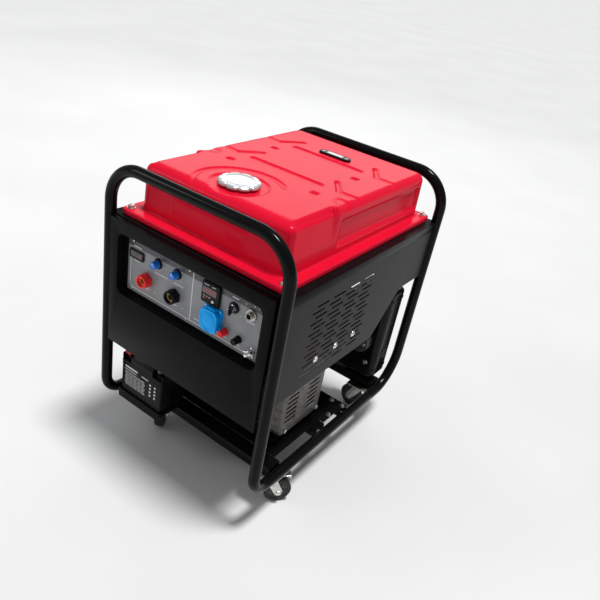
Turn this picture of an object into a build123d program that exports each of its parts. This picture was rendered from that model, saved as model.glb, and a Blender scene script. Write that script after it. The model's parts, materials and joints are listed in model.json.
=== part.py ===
"""Engine driven welder: open tube frame, petrol engine, welding alternator, tank and control panel.

Frame: +X runs left to right across the control panel, +Y from the panel to the rear, +Z up.
The origin is on the ground under the middle of the frame. All sizes are millimetres.
Heights in this file are measured from a datum plane DATUM_Z above the ground; save() and
save_group() lift every piece by that much, so the files stand on the ground.
"""
from build123d import *
from math import cos, radians, sin, tan
import os

# ---------------------------------------------------------------- driving dimensions
TUBE_R = 14.0            # frame tube, 28 mm outside diameter
TUBE_WALL = 2.0
POST_X = 256.0           # half the spacing of the posts across the machine
POST_Y = 343.0           # half the spacing of the posts along the machine
RAIL_Z = 82.0            # centre line of the bottom side rails
BAR_Z = 732.0            # centre line of the two top bars
TOP_BEND_R = 90.0
FRONT_BEND_R = 56.0
REAR_BEND_R = 105.0
SHEET = 1.5              # sheet steel of covers and panels

MEMBER_TOP = 96.0        # top of the bottom cross members
MEMBER_H = 28.0
TANK_RAIL_Z = 611.5      # top of the angle that carries the fuel tank
TANK_RAIL_H = 22.5

COVER_Y = -356.0         # outer face of the front cover
COVER_HALF = 240.0
COVER_BOTTOM = 272.0
COVER_TOP = 610.0
WINDOW_HALF = 214.0
WINDOW_BOTTOM = 422.0
WINDOW_TOP = 579.0
WINDOW_CORNER = 18.0
PANEL_Y = -333.5         # front face of the grey control panel
PANEL_HALF = 201.0
PANEL_BOTTOM = 431.0
PANEL_TOP = 570.0
PANEL_T = 2.0

CRANK_Y = -105.0         # crankshaft and alternator axis, along X
CRANK_Z = 228.0
ENGINE_X = -82.0         # middle of the cylinder
CYLINDER_TILT = 25.0     # degrees above horizontal, leaning to the rear
BORE_R = 44.0
STROKE_HALF = 32.0
SHAFT_R = 17.5
ROTOR_SHAFT_R = 15.0
RUNNING = 0.05           # radial running clearance

TANK_HALF_X = 212.0
TANK_FRONT = -296.0
TANK_REAR = 303.0
TANK_FLANGE_X = 238.0
TANK_FLANGE_Y = 329.0
TANK_TOP = 739.0
TANK_SEAM = 623.0        # where the two pressings of the tank meet
CAP_Y = -210.0
NECK_R = 36.0
GAUGE_Y = 176.0

DATUM_Z = 30.0           # height of the datum plane above the ground
WHEEL_R = 36.0
WHEEL_W = 24.0
AXLE_Z = WHEEL_R - DATUM_Z
AXLE_R = 4.0
CASTER_TRAIL = 28.0
# caster name: (swivel x, swivel y, direction in which the wheel trails, degrees from +X)
CASTERS = {
    "fl": (-140.0, -255.0, 122.0),
    "fr": (230.0, -236.0, 50.0),
    "rl": (-205.0, 264.0, 20.0),
    "rr": (205.0, 264.0, 170.0),
}

os.makedirs("parts", exist_ok=True)


# ---------------------------------------------------------------- small helpers
def save(builder, name):
    """Label a finished piece and write it to its own file."""
    piece = builder.part.moved(Location((0, 0, DATUM_Z)))
    piece.label = name
    export_step(piece, "parts/" + name + ".step")


def save_group(builders, name):
    """Write several touching pieces as separate solids of one node."""
    lifted = [piece.part.moved(Location((0, 0, DATUM_Z))) for piece in builders]
    group = Compound(label=name, children=lifted)
    export_step(group, "parts/" + name + ".step")


def block(x, y, z, mode=Mode.ADD):
    """Box between two limits on each axis: x, y and z are (low, high) pairs."""
    with Locations(((x[0] + x[1]) / 2, (y[0] + y[1]) / 2, (z[0] + z[1]) / 2)):
        Box(x[1] - x[0], y[1] - y[0], z[1] - z[0], mode=mode)


def rod(axis, span, centre, radius, mode=Mode.ADD):
    """Cylinder along axis "x", "y" or "z", between the two ends in span, at the other two coordinates."""
    mid = (span[0] + span[1]) / 2
    places = {
        "x": Location((mid, centre[0], centre[1]), (0, 90, 0)),
        "y": Location((centre[0], mid, centre[1]), (90, 0, 0)),
        "z": Location((centre[0], centre[1], mid)),
    }
    with Locations(places[axis]):
        Cylinder(radius, span[1] - span[0], mode=mode)


def ring(axis, span, centre, outer, inner):
    """Washer, sleeve or bearing ring."""
    rod(axis, span, centre, outer)
    rod(axis, span, centre, inner, Mode.SUBTRACT)


def tube_along(points, radii, outer, inner=0.0):
    """Round tube through points with tangent bends of the given radii."""
    with BuildLine() as route:
        FilletPolyline(*points, radius=radii)
    with BuildSketch(Plane(origin=route.line @ 0, z_dir=route.line % 0)) as section:
        Circle(outer)
        if inner > 0:
            Circle(inner, mode=Mode.SUBTRACT)
    sweep(section.sketch, path=route.line)


def hex_head(axis_plane, across, height):
    """Hexagon bolt head standing on a plane."""
    with BuildSketch(axis_plane) as hexagon:
        RegularPolygon(across / 2, 6, major_radius=False)
    extrude(hexagon.sketch, amount=height)


def cylinder_plane(distance):
    """Plane square to the inclined cylinder axis, a distance from the crankshaft."""
    tilt = radians(CYLINDER_TILT)
    axis = Vector(0, cos(tilt), sin(tilt))
    return Plane(origin=Vector(ENGINE_X, CRANK_Y, CRANK_Z) + axis * distance, x_dir=(1, 0, 0), z_dir=axis)


# ---------------------------------------------------------------- tube frame
def hoop(name, y, splice_y, bottom_r):
    """Post, top bar, post, with the foot of each post bent into the side rail."""
    points = [
        (-POST_X, splice_y, RAIL_Z), (-POST_X, y, RAIL_Z), (-POST_X, y, BAR_Z),
        (POST_X, y, BAR_Z), (POST_X, y, RAIL_Z), (POST_X, splice_y, RAIL_Z),
    ]
    radii = [bottom_r, TOP_BEND_R, TOP_BEND_R, bottom_r]
    with BuildPart() as tube:
        tube_along(points, radii, TUBE_R, TUBE_R - TUBE_WALL)
    save(tube, name)


FRONT_SPLICE = -POST_Y + 96.0
REAR_SPLICE = POST_Y - 140.0
hoop("front_hoop", -POST_Y, FRONT_SPLICE, FRONT_BEND_R)
hoop("rear_hoop", POST_Y, REAR_SPLICE, REAR_BEND_R)

# front and rear edges of the cross members, open channels with the flat side up
MEMBERS = [(-259.0, -217.0), (-54.0, -14.0), (70.0, 100.0), (247.0, 289.0)]
MEMBER_WALL = 3.0
base_frame = []
for x in (-POST_X, POST_X):
    with BuildPart() as side_rail:
        ring("y", (FRONT_SPLICE, REAR_SPLICE), (x, RAIL_Z), TUBE_R, TUBE_R - TUBE_WALL)
    base_frame.append(side_rail)
for y0, y1 in MEMBERS:
    with BuildPart() as cross_member:
        block((-POST_X, POST_X), (y0, y1), (MEMBER_TOP - MEMBER_H, MEMBER_TOP))
        inner_z = (MEMBER_TOP - MEMBER_H, MEMBER_TOP - MEMBER_WALL)
        block((-POST_X, POST_X), (y0 + MEMBER_WALL, y1 - MEMBER_WALL), inner_z, Mode.SUBTRACT)
        for x in (-POST_X, POST_X):
            rod("y", (y0 - 1, y1 + 1), (x, RAIL_Z), TUBE_R, Mode.SUBTRACT)
            edge = sorted((x, x - TUBE_R * (1 if x > 0 else -1)))
            block(edge, (y0 - 1, y1 + 1), (RAIL_Z, MEMBER_TOP + 1), Mode.SUBTRACT)
            block(edge, (y0 - 1, y1 + 1), (MEMBER_TOP - MEMBER_H - 1, RAIL_Z), Mode.SUBTRACT)
    base_frame.append(cross_member)
save_group(base_frame, "base_frame")

# angle that carries the tank flange, one length on each side, notched round the posts
RAIL_OUT = 260.0
RAIL_IN = 226.0
ANGLE = 3.0
with BuildPart() as tank_rails:
    for s in (-1, 1):
        xs = sorted((s * RAIL_IN, s * RAIL_OUT))
        wall = sorted((s * (RAIL_OUT - ANGLE), s * RAIL_OUT))
        block(xs, (-POST_Y + 3, POST_Y - 3), (TANK_RAIL_Z - ANGLE, TANK_RAIL_Z))
        block(wall, (-POST_Y + 3, POST_Y - 3), (TANK_RAIL_Z - TANK_RAIL_H, TANK_RAIL_Z))
        for y in (-POST_Y, POST_Y):
            rod("z", (560, 640), (s * POST_X, y), TUBE_R, Mode.SUBTRACT)
CROSSBAR_HALF = RAIL_IN - 0.5
with BuildPart() as tank_crossbars:
    for y in (-POST_Y, POST_Y):
        ys = sorted((y, y - 10 * (1 if y > 0 else -1)))
        block((-CROSSBAR_HALF, CROSSBAR_HALF), ys, (TANK_RAIL_Z - TANK_RAIL_H, TANK_RAIL_Z))
REAR_BAND_BOTTOM = 490.0
with BuildPart() as rear_band:
    band_z = (REAR_BAND_BOTTOM, TANK_RAIL_Z - TANK_RAIL_H)
    block((-COVER_HALF, COVER_HALF), (POST_Y - SHEET, POST_Y), band_z)
save_group([tank_rails, tank_crossbars, rear_band], "tank_rails")

# ---------------------------------------------------------------- casters
PAD_TOP = RAIL_Z - TUBE_R
PAD_T = 2.5
PAD_HALF = 36.0
FORK_TOP = 60.5
FORK_LEG_X = 14.5
FORK_LEG_T = 2.5
BOLT_INSET = 9.0


def caster_frame(swivel_x, swivel_y, heading):
    """Local frame of a caster: x along the trail, z up, origin on the datum plane under the swivel."""
    trail = Vector(cos(radians(heading)), sin(radians(heading)), 0)
    return Plane(origin=(swivel_x, swivel_y, 0), x_dir=trail, z_dir=(0, 0, 1))


with BuildPart() as caster_pads:
    for swivel_x, swivel_y, heading in CASTERS.values():
        pad_x = (swivel_x - PAD_HALF, min(swivel_x + PAD_HALF, POST_X + TUBE_R - 1))
        block(pad_x, (swivel_y - PAD_HALF, swivel_y + PAD_HALF), (PAD_TOP - PAD_T, PAD_TOP))
with BuildPart() as caster_races:
    for swivel_x, swivel_y, heading in CASTERS.values():
        ring("z", (FORK_TOP + 0.5, PAD_TOP - PAD_T), (swivel_x, swivel_y), 21.0, 5.0 + RUNNING)
save_group([caster_pads, caster_races], "caster_plates")

for key, (swivel_x, swivel_y, heading) in CASTERS.items():
    base = caster_frame(swivel_x, swivel_y, heading)
    side = Plane(origin=base.origin, x_dir=base.x_dir, z_dir=base.x_dir.cross(base.z_dir))
    with BuildPart() as fork:
        with BuildSketch(base.offset(FORK_TOP - FORK_LEG_T)):
            Circle(20)
        extrude(amount=FORK_LEG_T)
        with BuildSketch(base.offset(FORK_TOP)):
            Circle(5)
        extrude(amount=PAD_TOP - PAD_T - FORK_TOP - 0.5)
        for s in (-1, 1):
            start = FORK_LEG_X if s > 0 else -FORK_LEG_X - FORK_LEG_T
            with BuildSketch(side.offset(start)):
                with BuildLine():
                    Polyline((-15.5, FORK_TOP - FORK_LEG_T), (15.5, FORK_TOP - FORK_LEG_T),
                             (CASTER_TRAIL + 10, AXLE_Z + 5), (CASTER_TRAIL + 7, AXLE_Z - 9),
                             (CASTER_TRAIL - 7, AXLE_Z - 9), (-15.5, FORK_TOP - FORK_LEG_T))
                make_face()
            extrude(amount=FORK_LEG_T)
        with BuildSketch(side.offset(-FORK_LEG_X - FORK_LEG_T - 3)):
            with Locations((CASTER_TRAIL, AXLE_Z)):
                Circle(AXLE_R)
        extrude(amount=2 * (FORK_LEG_X + FORK_LEG_T + 3))
        for start in (-FORK_LEG_X - FORK_LEG_T - 4, FORK_LEG_X + FORK_LEG_T):
            with BuildSketch(side.offset(start)):
                with Locations((CASTER_TRAIL, AXLE_Z)):
                    RegularPolygon(6.5, 6, major_radius=False)
            extrude(amount=4)
    save(fork, "caster_fork_" + key)
    with BuildPart() as wheel:
        with BuildSketch(side.offset(-WHEEL_W / 2)):
            with Locations((CASTER_TRAIL, AXLE_Z)):
                Circle(WHEEL_R)
                Circle(AXLE_R + RUNNING, mode=Mode.SUBTRACT)
        extrude(amount=WHEEL_W)
        rims = wheel.edges().filter_by(GeomType.CIRCLE).filter_by(lambda e: abs(e.radius - WHEEL_R) < 0.01)
        fillet(rims, radius=5)
    save(wheel, "caster_wheel_" + key)

# ---------------------------------------------------------------- front cover and control box
WINDOW_BACK = PANEL_Y + PANEL_T           # the grey panel stands on this face
with BuildPart() as front_cover:
    front = Plane(origin=(0, COVER_Y, 0), x_dir=(1, 0, 0), z_dir=(0, -1, 0))
    window_z = (WINDOW_BOTTOM + WINDOW_TOP) / 2
    window_h = WINDOW_TOP - WINDOW_BOTTOM
    with BuildSketch(front):
        with Locations((0, (COVER_BOTTOM + COVER_TOP) / 2)):
            Rectangle(2 * COVER_HALF, COVER_TOP - COVER_BOTTOM)
        with Locations((0, window_z)):
            RectangleRounded(2 * WINDOW_HALF, window_h, WINDOW_CORNER, mode=Mode.SUBTRACT)
    extrude(amount=-SHEET)
    with BuildSketch(front):
        with Locations((0, window_z)):
            RectangleRounded(2 * WINDOW_HALF + 2 * SHEET, window_h + 2 * SHEET, WINDOW_CORNER + SHEET)
            RectangleRounded(2 * WINDOW_HALF, window_h, WINDOW_CORNER, mode=Mode.SUBTRACT)
    extrude(amount=-(WINDOW_BACK + SHEET - COVER_Y))
    with BuildSketch(Plane(origin=(0, WINDOW_BACK, 0), x_dir=(1, 0, 0), z_dir=(0, -1, 0))):
        with Locations((0, window_z)):
            RectangleRounded(2 * WINDOW_HALF + SHEET, window_h + SHEET, WINDOW_CORNER)
            Rectangle(2 * PANEL_HALF - 20, window_h - 34, mode=Mode.SUBTRACT)
    extrude(amount=-SHEET)
    for s in (-1, 1):
        xs = sorted((s * (COVER_HALF - SHEET), s * COVER_HALF))
        block(xs, (COVER_Y, COVER_Y + 12), (COVER_BOTTOM, COVER_TOP))
    block((-COVER_HALF, COVER_HALF), (COVER_Y, COVER_Y + 26), (COVER_BOTTOM, COVER_BOTTOM + SHEET))
    block((-COVER_HALF, COVER_HALF), (COVER_Y, COVER_Y + 12), (COVER_TOP - SHEET, COVER_TOP))
save(front_cover, "front_cover")

# panel controls: name -> (x, z) of the middle on the grey panel
HOUR_METER = (-171.0, 532.0)
KNOBS = {"current": (-102.0, 538.0), "arc_force": (-42.0, 538.0)}
WELD_SOCKETS = {"positive": (-136.0, 481.0), "negative": (-46.0, 481.0)}
METER = (62.0, 537.5)
MAINS = (73.0, 482.0)
KEY = (126.0, 533.0)
REMOTE = (172.0, 537.0)
POSTS = {"positive": (110.0, 464.0), "negative": (148.0, 464.0)}
GROUND = (186.0, 452.0)
PANEL_BACK = PANEL_Y + PANEL_T
KNOB_SHAFT_R = 3.0
SOCKET_R = 15.0
WELD_BORE_R = 6.6        # takes the 13 mm pin of a welding cable plug
POST_R = 5.0
STUD_SHANK_R = 4.4       # thicker than the free end, which carries the earth lead

with BuildPart() as control_panel:
    block((-PANEL_HALF, PANEL_HALF), (PANEL_Y, PANEL_BACK), (PANEL_BOTTOM, PANEL_TOP))
    cut = (PANEL_Y - 1, PANEL_BACK + 1)
    for x, z in KNOBS.values():
        rod("y", cut, (x, z), 6.0, Mode.SUBTRACT)
    for x, z in WELD_SOCKETS.values():
        rod("y", cut, (x, z), SOCKET_R, Mode.SUBTRACT)
    for x, z in POSTS.values():
        rod("y", cut, (x, z), POST_R, Mode.SUBTRACT)
    rod("y", cut, MAINS, 24.0, Mode.SUBTRACT)
    rod("y", cut, KEY, 9.5, Mode.SUBTRACT)
    rod("y", cut, REMOTE, 8.0, Mode.SUBTRACT)
    rod("y", cut, GROUND, STUD_SHANK_R, Mode.SUBTRACT)
    block((METER[0] - 22, METER[0] + 22), cut, (METER[1] - 20, METER[1] + 20), Mode.SUBTRACT)
    hour_x = (HOUR_METER[0] - 20, HOUR_METER[0] + 20)
    block(hour_x, cut, (HOUR_METER[1] - 9, HOUR_METER[1] + 9), Mode.SUBTRACT)
save(control_panel, "control_panel")

with BuildPart() as control_box:
    box_x = (-210.0, 210.0)
    box_y = (WINDOW_BACK + SHEET, -238.0)
    box_z = (415.0, 586.0)
    block(box_x, box_y, box_z)
    inside = [(v[0] + SHEET, v[1] - SHEET) for v in (box_x, box_z)]
    block(inside[0], (box_y[0] - 1, box_y[1] - SHEET), inside[1], Mode.SUBTRACT)
    for x in (-160, 0, 160):
        rod("z", (410, 420), (x, -285), 8.0, Mode.SUBTRACT)
with BuildPart() as rectifier:
    block((-190, -20), (-262, -241), (424, 500))
    for i in range(12):
        z = 426.0 + i * 6
        block((-190, -20), (-282, -262), (z, z + 2.5))

with BuildPart() as voltage_regulator:
    block((90, 190), (-270, -241), (440, 520))


def panel_knob(name, x, z):
    """Ribbed knob on a short spindle that passes through the panel."""
    with BuildPart() as knob:
        rod("y", (PANEL_Y - 20.5, PANEL_Y - 3.0), (x, z), 9.2)
        rod("y", (PANEL_Y - 4.5, PANEL_Y - 1.0), (x, z), 12.5)
        rod("y", (PANEL_Y - 3.0, PANEL_BACK + 12), (x, z), KNOB_SHAFT_R)
        block((x - 1, x + 1), (PANEL_Y - 21.5, PANEL_Y - 20.0), (z, z + 8))
        for i in range(12):
            a = radians(30 * i + 15)
            flute = (x + 9.9 * cos(a), z + 9.9 * sin(a))
            rod("y", (PANEL_Y - 22, PANEL_Y - 6), flute, 1.2, Mode.SUBTRACT)
    save(knob, name)


for key, (x, z) in KNOBS.items():
    panel_knob(key + "_knob", x, z)

with BuildPart() as potentiometers:
    for x, z in KNOBS.values():
        rod("y", (PANEL_Y, PANEL_BACK + 8), (x, z), 6.0)
        rod("y", (PANEL_BACK + 8, PANEL_BACK + 18), (x, z), 12.0)
        rod("y", (PANEL_Y - 1, PANEL_BACK + 19), (x, z), KNOB_SHAFT_R + RUNNING, Mode.SUBTRACT)
save_group([control_box, rectifier, voltage_regulator, potentiometers], "control_box")

with BuildPart() as weld_sockets:
    for x, z in WELD_SOCKETS.values():
        with BuildSketch(Plane(origin=(x, PANEL_Y, z), x_dir=(1, 0, 0), z_dir=(0, -1, 0))):
            RegularPolygon(18.5, 6)
        extrude(amount=5)
        rod("y", (PANEL_Y - 21, PANEL_Y - 5), (x, z), 16.5)
        rod("y", (PANEL_Y, PANEL_BACK + 22), (x, z), SOCKET_R)
        rod("y", (PANEL_Y - 22, PANEL_Y - 15), (x, z), 11.0, Mode.SUBTRACT)
        rod("y", (PANEL_Y - 22, PANEL_Y + 12), (x, z), WELD_BORE_R, Mode.SUBTRACT)
save(weld_sockets, "weld_sockets")

with BuildPart() as digital_meter:
    x, z = METER
    with BuildSketch(Plane(origin=(x, PANEL_Y, z), x_dir=(1, 0, 0), z_dir=(0, -1, 0))):
        RectangleRounded(52, 52, 5)
    extrude(amount=7)
    block((x - 22, x + 22), (PANEL_Y, PANEL_BACK + 30), (z - 20, z + 20))
    rod("y", (PANEL_Y - 8, PANEL_Y - 2.5), (x + 9, z - 15.5), 4.0, Mode.SUBTRACT)

with BuildPart() as meter_button:
    rod("y", (PANEL_Y - 9, PANEL_Y - 4.5), (METER[0] + 9, METER[1] - 15.5), 3.6)
    fillet(meter_button.edges().group_by(Axis.Y)[0], radius=1.0)
save(meter_button, "meter_button")

with BuildPart() as hour_meter:
    x, z = HOUR_METER
    block((x - 23, x + 23), (PANEL_Y - 4, PANEL_Y), (z - 11.5, z + 11.5))
    block((x - 20, x + 20), (PANEL_Y, PANEL_BACK + 16), (z - 9, z + 9))
save_group([digital_meter, hour_meter], "panel_meters")

MAINS_HINGE_Z = MAINS[1] + 27.0
MAINS_HINGE_Y = PANEL_Y - 13.0
LID_T = 6.0
with BuildPart() as mains_socket:
    x, z = MAINS
    with BuildSketch(Plane(origin=(x, PANEL_Y, z), x_dir=(1, 0, 0), z_dir=(0, -1, 0))):
        RectangleRounded(52, 57, 6)
    extrude(amount=6)
    rod("y", (PANEL_Y - 13, PANEL_BACK + 24), (x, z), 23.8)
    rod("y", (PANEL_Y - 14, PANEL_Y + 8), (x, z), 19.8, Mode.SUBTRACT)
    for s in (-1, 1):
        xs = sorted((x + s * 9, x + s * 14))
        block(xs, (MAINS_HINGE_Y - 2.6, PANEL_Y - 5), (MAINS_HINGE_Z - 2.6, MAINS_HINGE_Z + 2.2))
    rod("x", (x - 15, x + 15), (MAINS_HINGE_Y, MAINS_HINGE_Z), 1.6 + RUNNING, Mode.SUBTRACT)
save(mains_socket, "mains_socket")

with BuildPart() as mains_lid:
    x, z = MAINS
    face_y = PANEL_Y - 13.6
    with BuildSketch(Plane(origin=(x, face_y, z - 1.5), x_dir=(1, 0, 0), z_dir=(0, -1, 0))):
        RectangleRounded(50, 55, 12)
    extrude(amount=LID_T)
    fillet(mains_lid.edges().group_by(Axis.Y)[0], radius=2.5)
    for s in (-1, 1):
        notch_x = sorted((x + s * 8.7, x + s * 15))
        notch_y = (MAINS_HINGE_Y - 8, MAINS_HINGE_Y + 4)
        block(notch_x, notch_y, (MAINS_HINGE_Z - 4, MAINS_HINGE_Z + 13), Mode.SUBTRACT)
    rod("x", (x - 8.5, x + 8.5), (MAINS_HINGE_Y, MAINS_HINGE_Z), 3.2)
    rod("x", (x - 14, x + 14), (MAINS_HINGE_Y, MAINS_HINGE_Z), 1.6)
save(mains_lid, "mains_socket_lid")

with BuildPart() as key_switch:
    x, z = KEY
    ring("y", (PANEL_Y - 4, PANEL_Y), (x, z), 13.0, 5.0)
    ring("y", (PANEL_Y - 6, PANEL_BACK + 26), (x, z), 9.5, 5.0)

with BuildPart() as ignition_key:
    x, z = KEY
    rod("y", (PANEL_Y - 7, PANEL_Y + 18), (x, z), 5.0 - RUNNING)
    block((x - 1.5, x + 1.5), (PANEL_Y - 20, PANEL_Y - 7), (z - 14, z + 10))
save(ignition_key, "ignition_key")

with BuildPart() as remote_socket:
    x, z = REMOTE
    rod("y", (PANEL_Y - 4, PANEL_Y), (x, z), 14.0)
    rod("y", (PANEL_Y - 11, PANEL_BACK + 16), (x, z), 8.0)
    rod("y", (PANEL_Y - 12, PANEL_Y), (x, z), 6.0, Mode.SUBTRACT)
with BuildPart() as binding_posts:
    for x, z in POSTS.values():
        rod("y", (PANEL_Y - 5, PANEL_Y), (x, z), 9.0)
        rod("y", (PANEL_Y, PANEL_BACK + 14), (x, z), POST_R)
        rod("y", (PANEL_Y - 17, PANEL_Y - 5), (x, z), 3.0)
save_group([key_switch, remote_socket, binding_posts], "panel_connectors")

for key, (x, z) in POSTS.items():
    with BuildPart() as post_cap:
        rod("y", (PANEL_Y - 20, PANEL_Y - 6), (x, z), 8.0)
        rod("y", (PANEL_Y - 18, PANEL_Y - 5), (x, z), 3.0 + RUNNING, Mode.SUBTRACT)
        for i in range(8):
            a = radians(45 * i)
            rod("y", (PANEL_Y - 21, PANEL_Y - 8), (x + 8.6 * cos(a), z + 8.6 * sin(a)), 1.4, Mode.SUBTRACT)
    save(post_cap, "binding_cap_" + key)

with BuildPart() as ground_stud:
    x, z = GROUND
    rod("y", (PANEL_Y - 23, PANEL_Y - 13), (x, z), 4.0)
    rod("y", (PANEL_Y - 13, PANEL_BACK + 12), (x, z), STUD_SHANK_R)
    rod("y", (PANEL_Y - 2.0, PANEL_Y), (x, z), 9.0)

with BuildPart() as wing_nut:
    x, z = GROUND
    rod("y", (PANEL_Y - 12, PANEL_Y - 2.3), (x, z), 7.0)
    for s in (-1, 1):
        xs = sorted((x + s * 5, x + s * 14))
        block(xs, (PANEL_Y - 12.5, PANEL_Y - 5), (z - 1.6, z + 1.6))
    rod("y", (PANEL_Y - 19, PANEL_Y - 2), (x, z), STUD_SHANK_R + RUNNING, Mode.SUBTRACT)
save(wing_nut, "ground_wing_nut")

with BuildPart() as panel_screws:
    for x in (-186.0, -8.0, 191.0):
        for z in (PANEL_BOTTOM + 7, PANEL_TOP - 7):
            rod("y", (PANEL_Y - 2.2, PANEL_Y), (x, z), 4.0)

# ---------------------------------------------------------------- side panels
PANEL_OUT_X = 258.0
BAND_BOTTOM = 450.0
SKIRT_BOTTOM = 338.0
SLOT_COLUMNS = 4
SLOT_ROWS = 14
SLOT_PITCH_Y = 66.0
SLOT_PITCH_Z = 14.0
SLOT_L = 48.0
SLOT_H = 5.0
SLOT_FIRST = (-204.0, 372.0)
PANEL_END = POST_Y - TUBE_R - 0.6

for side, s in (("left", -1), ("right", 1)):
    face = Plane(origin=(s * PANEL_OUT_X, 0, 0), x_dir=(0, 1, 0), z_dir=(1, 0, 0))
    with BuildPart() as side_panel:
        with BuildSketch(face) as outline:
            with BuildLine():
                Polyline((-PANEL_END, TANK_RAIL_Z - TANK_RAIL_H), (PANEL_END, TANK_RAIL_Z - TANK_RAIL_H),
                         (PANEL_END, BAND_BOTTOM), (205, BAND_BOTTOM), (98, SKIRT_BOTTOM),
                         (-PANEL_END, SKIRT_BOTTOM), (-PANEL_END, TANK_RAIL_Z - TANK_RAIL_H))
            make_face()
            low_corners = [v for v in outline.vertices() if v.Z < BAND_BOTTOM + 1]
            knees = [v for v in low_corners if abs(v.Y) < 210]
            fillet(knees, radius=35)
            for row in range(SLOT_ROWS):
                shift = 7.0 if row % 2 else -7.0
                for column in range(SLOT_COLUMNS):
                    slot_y = SLOT_FIRST[0] + column * SLOT_PITCH_Y + shift
                    with Locations((slot_y, SLOT_FIRST[1] + row * SLOT_PITCH_Z)):
                        SlotOverall(SLOT_L, SLOT_H, mode=Mode.SUBTRACT)
        extrude(amount=-s * SHEET)
    save(side_panel, side + "_side_panel")

with BuildPart() as side_bolts:
    for s in (-1, 1):
        for y in (-182.0, -98.0, -18.0):
            out = Plane(origin=(s * PANEL_OUT_X, y, 401.0), x_dir=(0, 1, 0), z_dir=(s, 0, 0))
            hex_head(out, 10.0, 4.5)

# ---------------------------------------------------------------- fuel tank
LIP = 12.0
TANK_CORNER_R = 23.0


def tank_body(inset, bottom, top):
    """Rounded body of the tank; inset shrinks it all round."""
    width = 2 * (TANK_HALF_X - inset)
    length = TANK_REAR - TANK_FRONT - 2 * inset
    with BuildSketch(Plane.XY.offset(bottom)) as plan:
        with Locations((0, (TANK_FRONT + TANK_REAR) / 2)):
            RectangleRounded(width, length, TANK_CORNER_R - inset)
    extrude(plan.sketch, amount=top - bottom, taper=1)


with BuildPart() as tank_cavity:
    tank_body(1.5, TANK_SEAM - 1, TANK_TOP - 4.5)
    fillet(tank_cavity.faces().sort_by(Axis.Z)[-1].edges(), radius=16)

with BuildPart() as fuel_tank_upper:
    tank_body(0, TANK_SEAM, TANK_TOP)
    fillet(fuel_tank_upper.faces().sort_by(Axis.Z)[-1].edges(), radius=20)
    with BuildSketch(Plane.XY.offset(TANK_SEAM)):
        RectangleRounded(2 * TANK_FLANGE_X, 2 * TANK_FLANGE_Y, 12)
    extrude(amount=2.0)
    with BuildSketch(Plane.XY.offset(TANK_SEAM - LIP + 2)):
        RectangleRounded(2 * TANK_FLANGE_X, 2 * TANK_FLANGE_Y, 12)
        RectangleRounded(2 * TANK_FLANGE_X - 4, 2 * TANK_FLANGE_Y - 4, 10, mode=Mode.SUBTRACT)
    extrude(amount=LIP)
    add(tank_cavity.part, mode=Mode.SUBTRACT)
    rod("z", (TANK_TOP - 20, TANK_TOP + 5), (0, CAP_Y), NECK_R, Mode.SUBTRACT)
    for y in (-43.0, 137.0):
        with BuildSketch(Plane.XY.offset(TANK_TOP)):
            with Locations((0, y)):
                SlotOverall(208, 12)
        extrude(amount=-3, mode=Mode.SUBTRACT)
    for x in (-128, 128):
        for y in (-98, 78):
            block((x - 8, x + 8), (y - 6, y + 6), (TANK_TOP - 3, TANK_TOP + 1), Mode.SUBTRACT)
    for x in (-222, 222):
        for y in (-312, 312):
            rod("z", (TANK_SEAM - 1, TANK_SEAM + 3), (x, y), 4.5, Mode.SUBTRACT)
save(fuel_tank_upper, "fuel_tank_upper")

with BuildPart() as fuel_tank_lower:
    with BuildSketch(Plane.XY.offset(TANK_SEAM - 2)):
        RectangleRounded(2 * TANK_FLANGE_X - 5, 2 * TANK_FLANGE_Y - 5, 10)
        with Locations((0, (TANK_FRONT + TANK_REAR) / 2)):
            RectangleRounded(2 * TANK_HALF_X - 12, TANK_REAR - TANK_FRONT - 12, 28, mode=Mode.SUBTRACT)
    extrude(amount=2)
    with BuildSketch(Plane.XY.offset(TANK_SEAM - 30)):
        with Locations((0, (TANK_FRONT + TANK_REAR) / 2)):
            RectangleRounded(2 * TANK_HALF_X - 8, TANK_REAR - TANK_FRONT - 8, 30)
            RectangleRounded(2 * TANK_HALF_X - 12, TANK_REAR - TANK_FRONT - 12, 28, mode=Mode.SUBTRACT)
    extrude(amount=30)
    with BuildSketch(Plane.XY.offset(TANK_SEAM - 32)):
        with Locations((0, (TANK_FRONT + TANK_REAR) / 2)):
            RectangleRounded(2 * TANK_HALF_X - 8, TANK_REAR - TANK_FRONT - 8, 30)
    extrude(amount=2)
    for x in (-222, 222):
        for y in (-312, 312):
            rod("z", (TANK_SEAM - 3, TANK_SEAM + 1), (x, y), 4.5, Mode.SUBTRACT)
save(fuel_tank_lower, "fuel_tank_lower")

with BuildPart() as tank_bolts:
    for x in (-222, 222):
        for y in (-312, 312):
            rod("z", (TANK_SEAM + 2, TANK_SEAM + 4), (x, y), 10.0)
            hex_head(Plane(origin=(x, y, TANK_SEAM + 4)), 13.0, 6.0)
            rod("z", (TANK_SEAM - 11, TANK_SEAM + 2), (x, y), 4.0)
save_group([panel_screws, ground_stud, side_bolts, tank_bolts], "fasteners")

CAP_R = 49.0
CAP_BASE = TANK_TOP + 2.5
with BuildPart() as filler_neck:
    ring("z", (TANK_TOP - 26, TANK_TOP + 2), (0, CAP_Y), NECK_R, NECK_R - 2)
with BuildPart() as fuel_strainer:
    ring("z", (TANK_TOP - 70, TANK_TOP - 2), (0, CAP_Y), 30.0, 28.5)
    rod("z", (TANK_TOP - 71.5, TANK_TOP - 70), (0, CAP_Y), 30.0)
    ring("z", (TANK_TOP - 4, TANK_TOP - 2), (0, CAP_Y), NECK_R - 2, 28.5)
save_group([filler_neck, fuel_strainer], "filler_neck")

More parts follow.
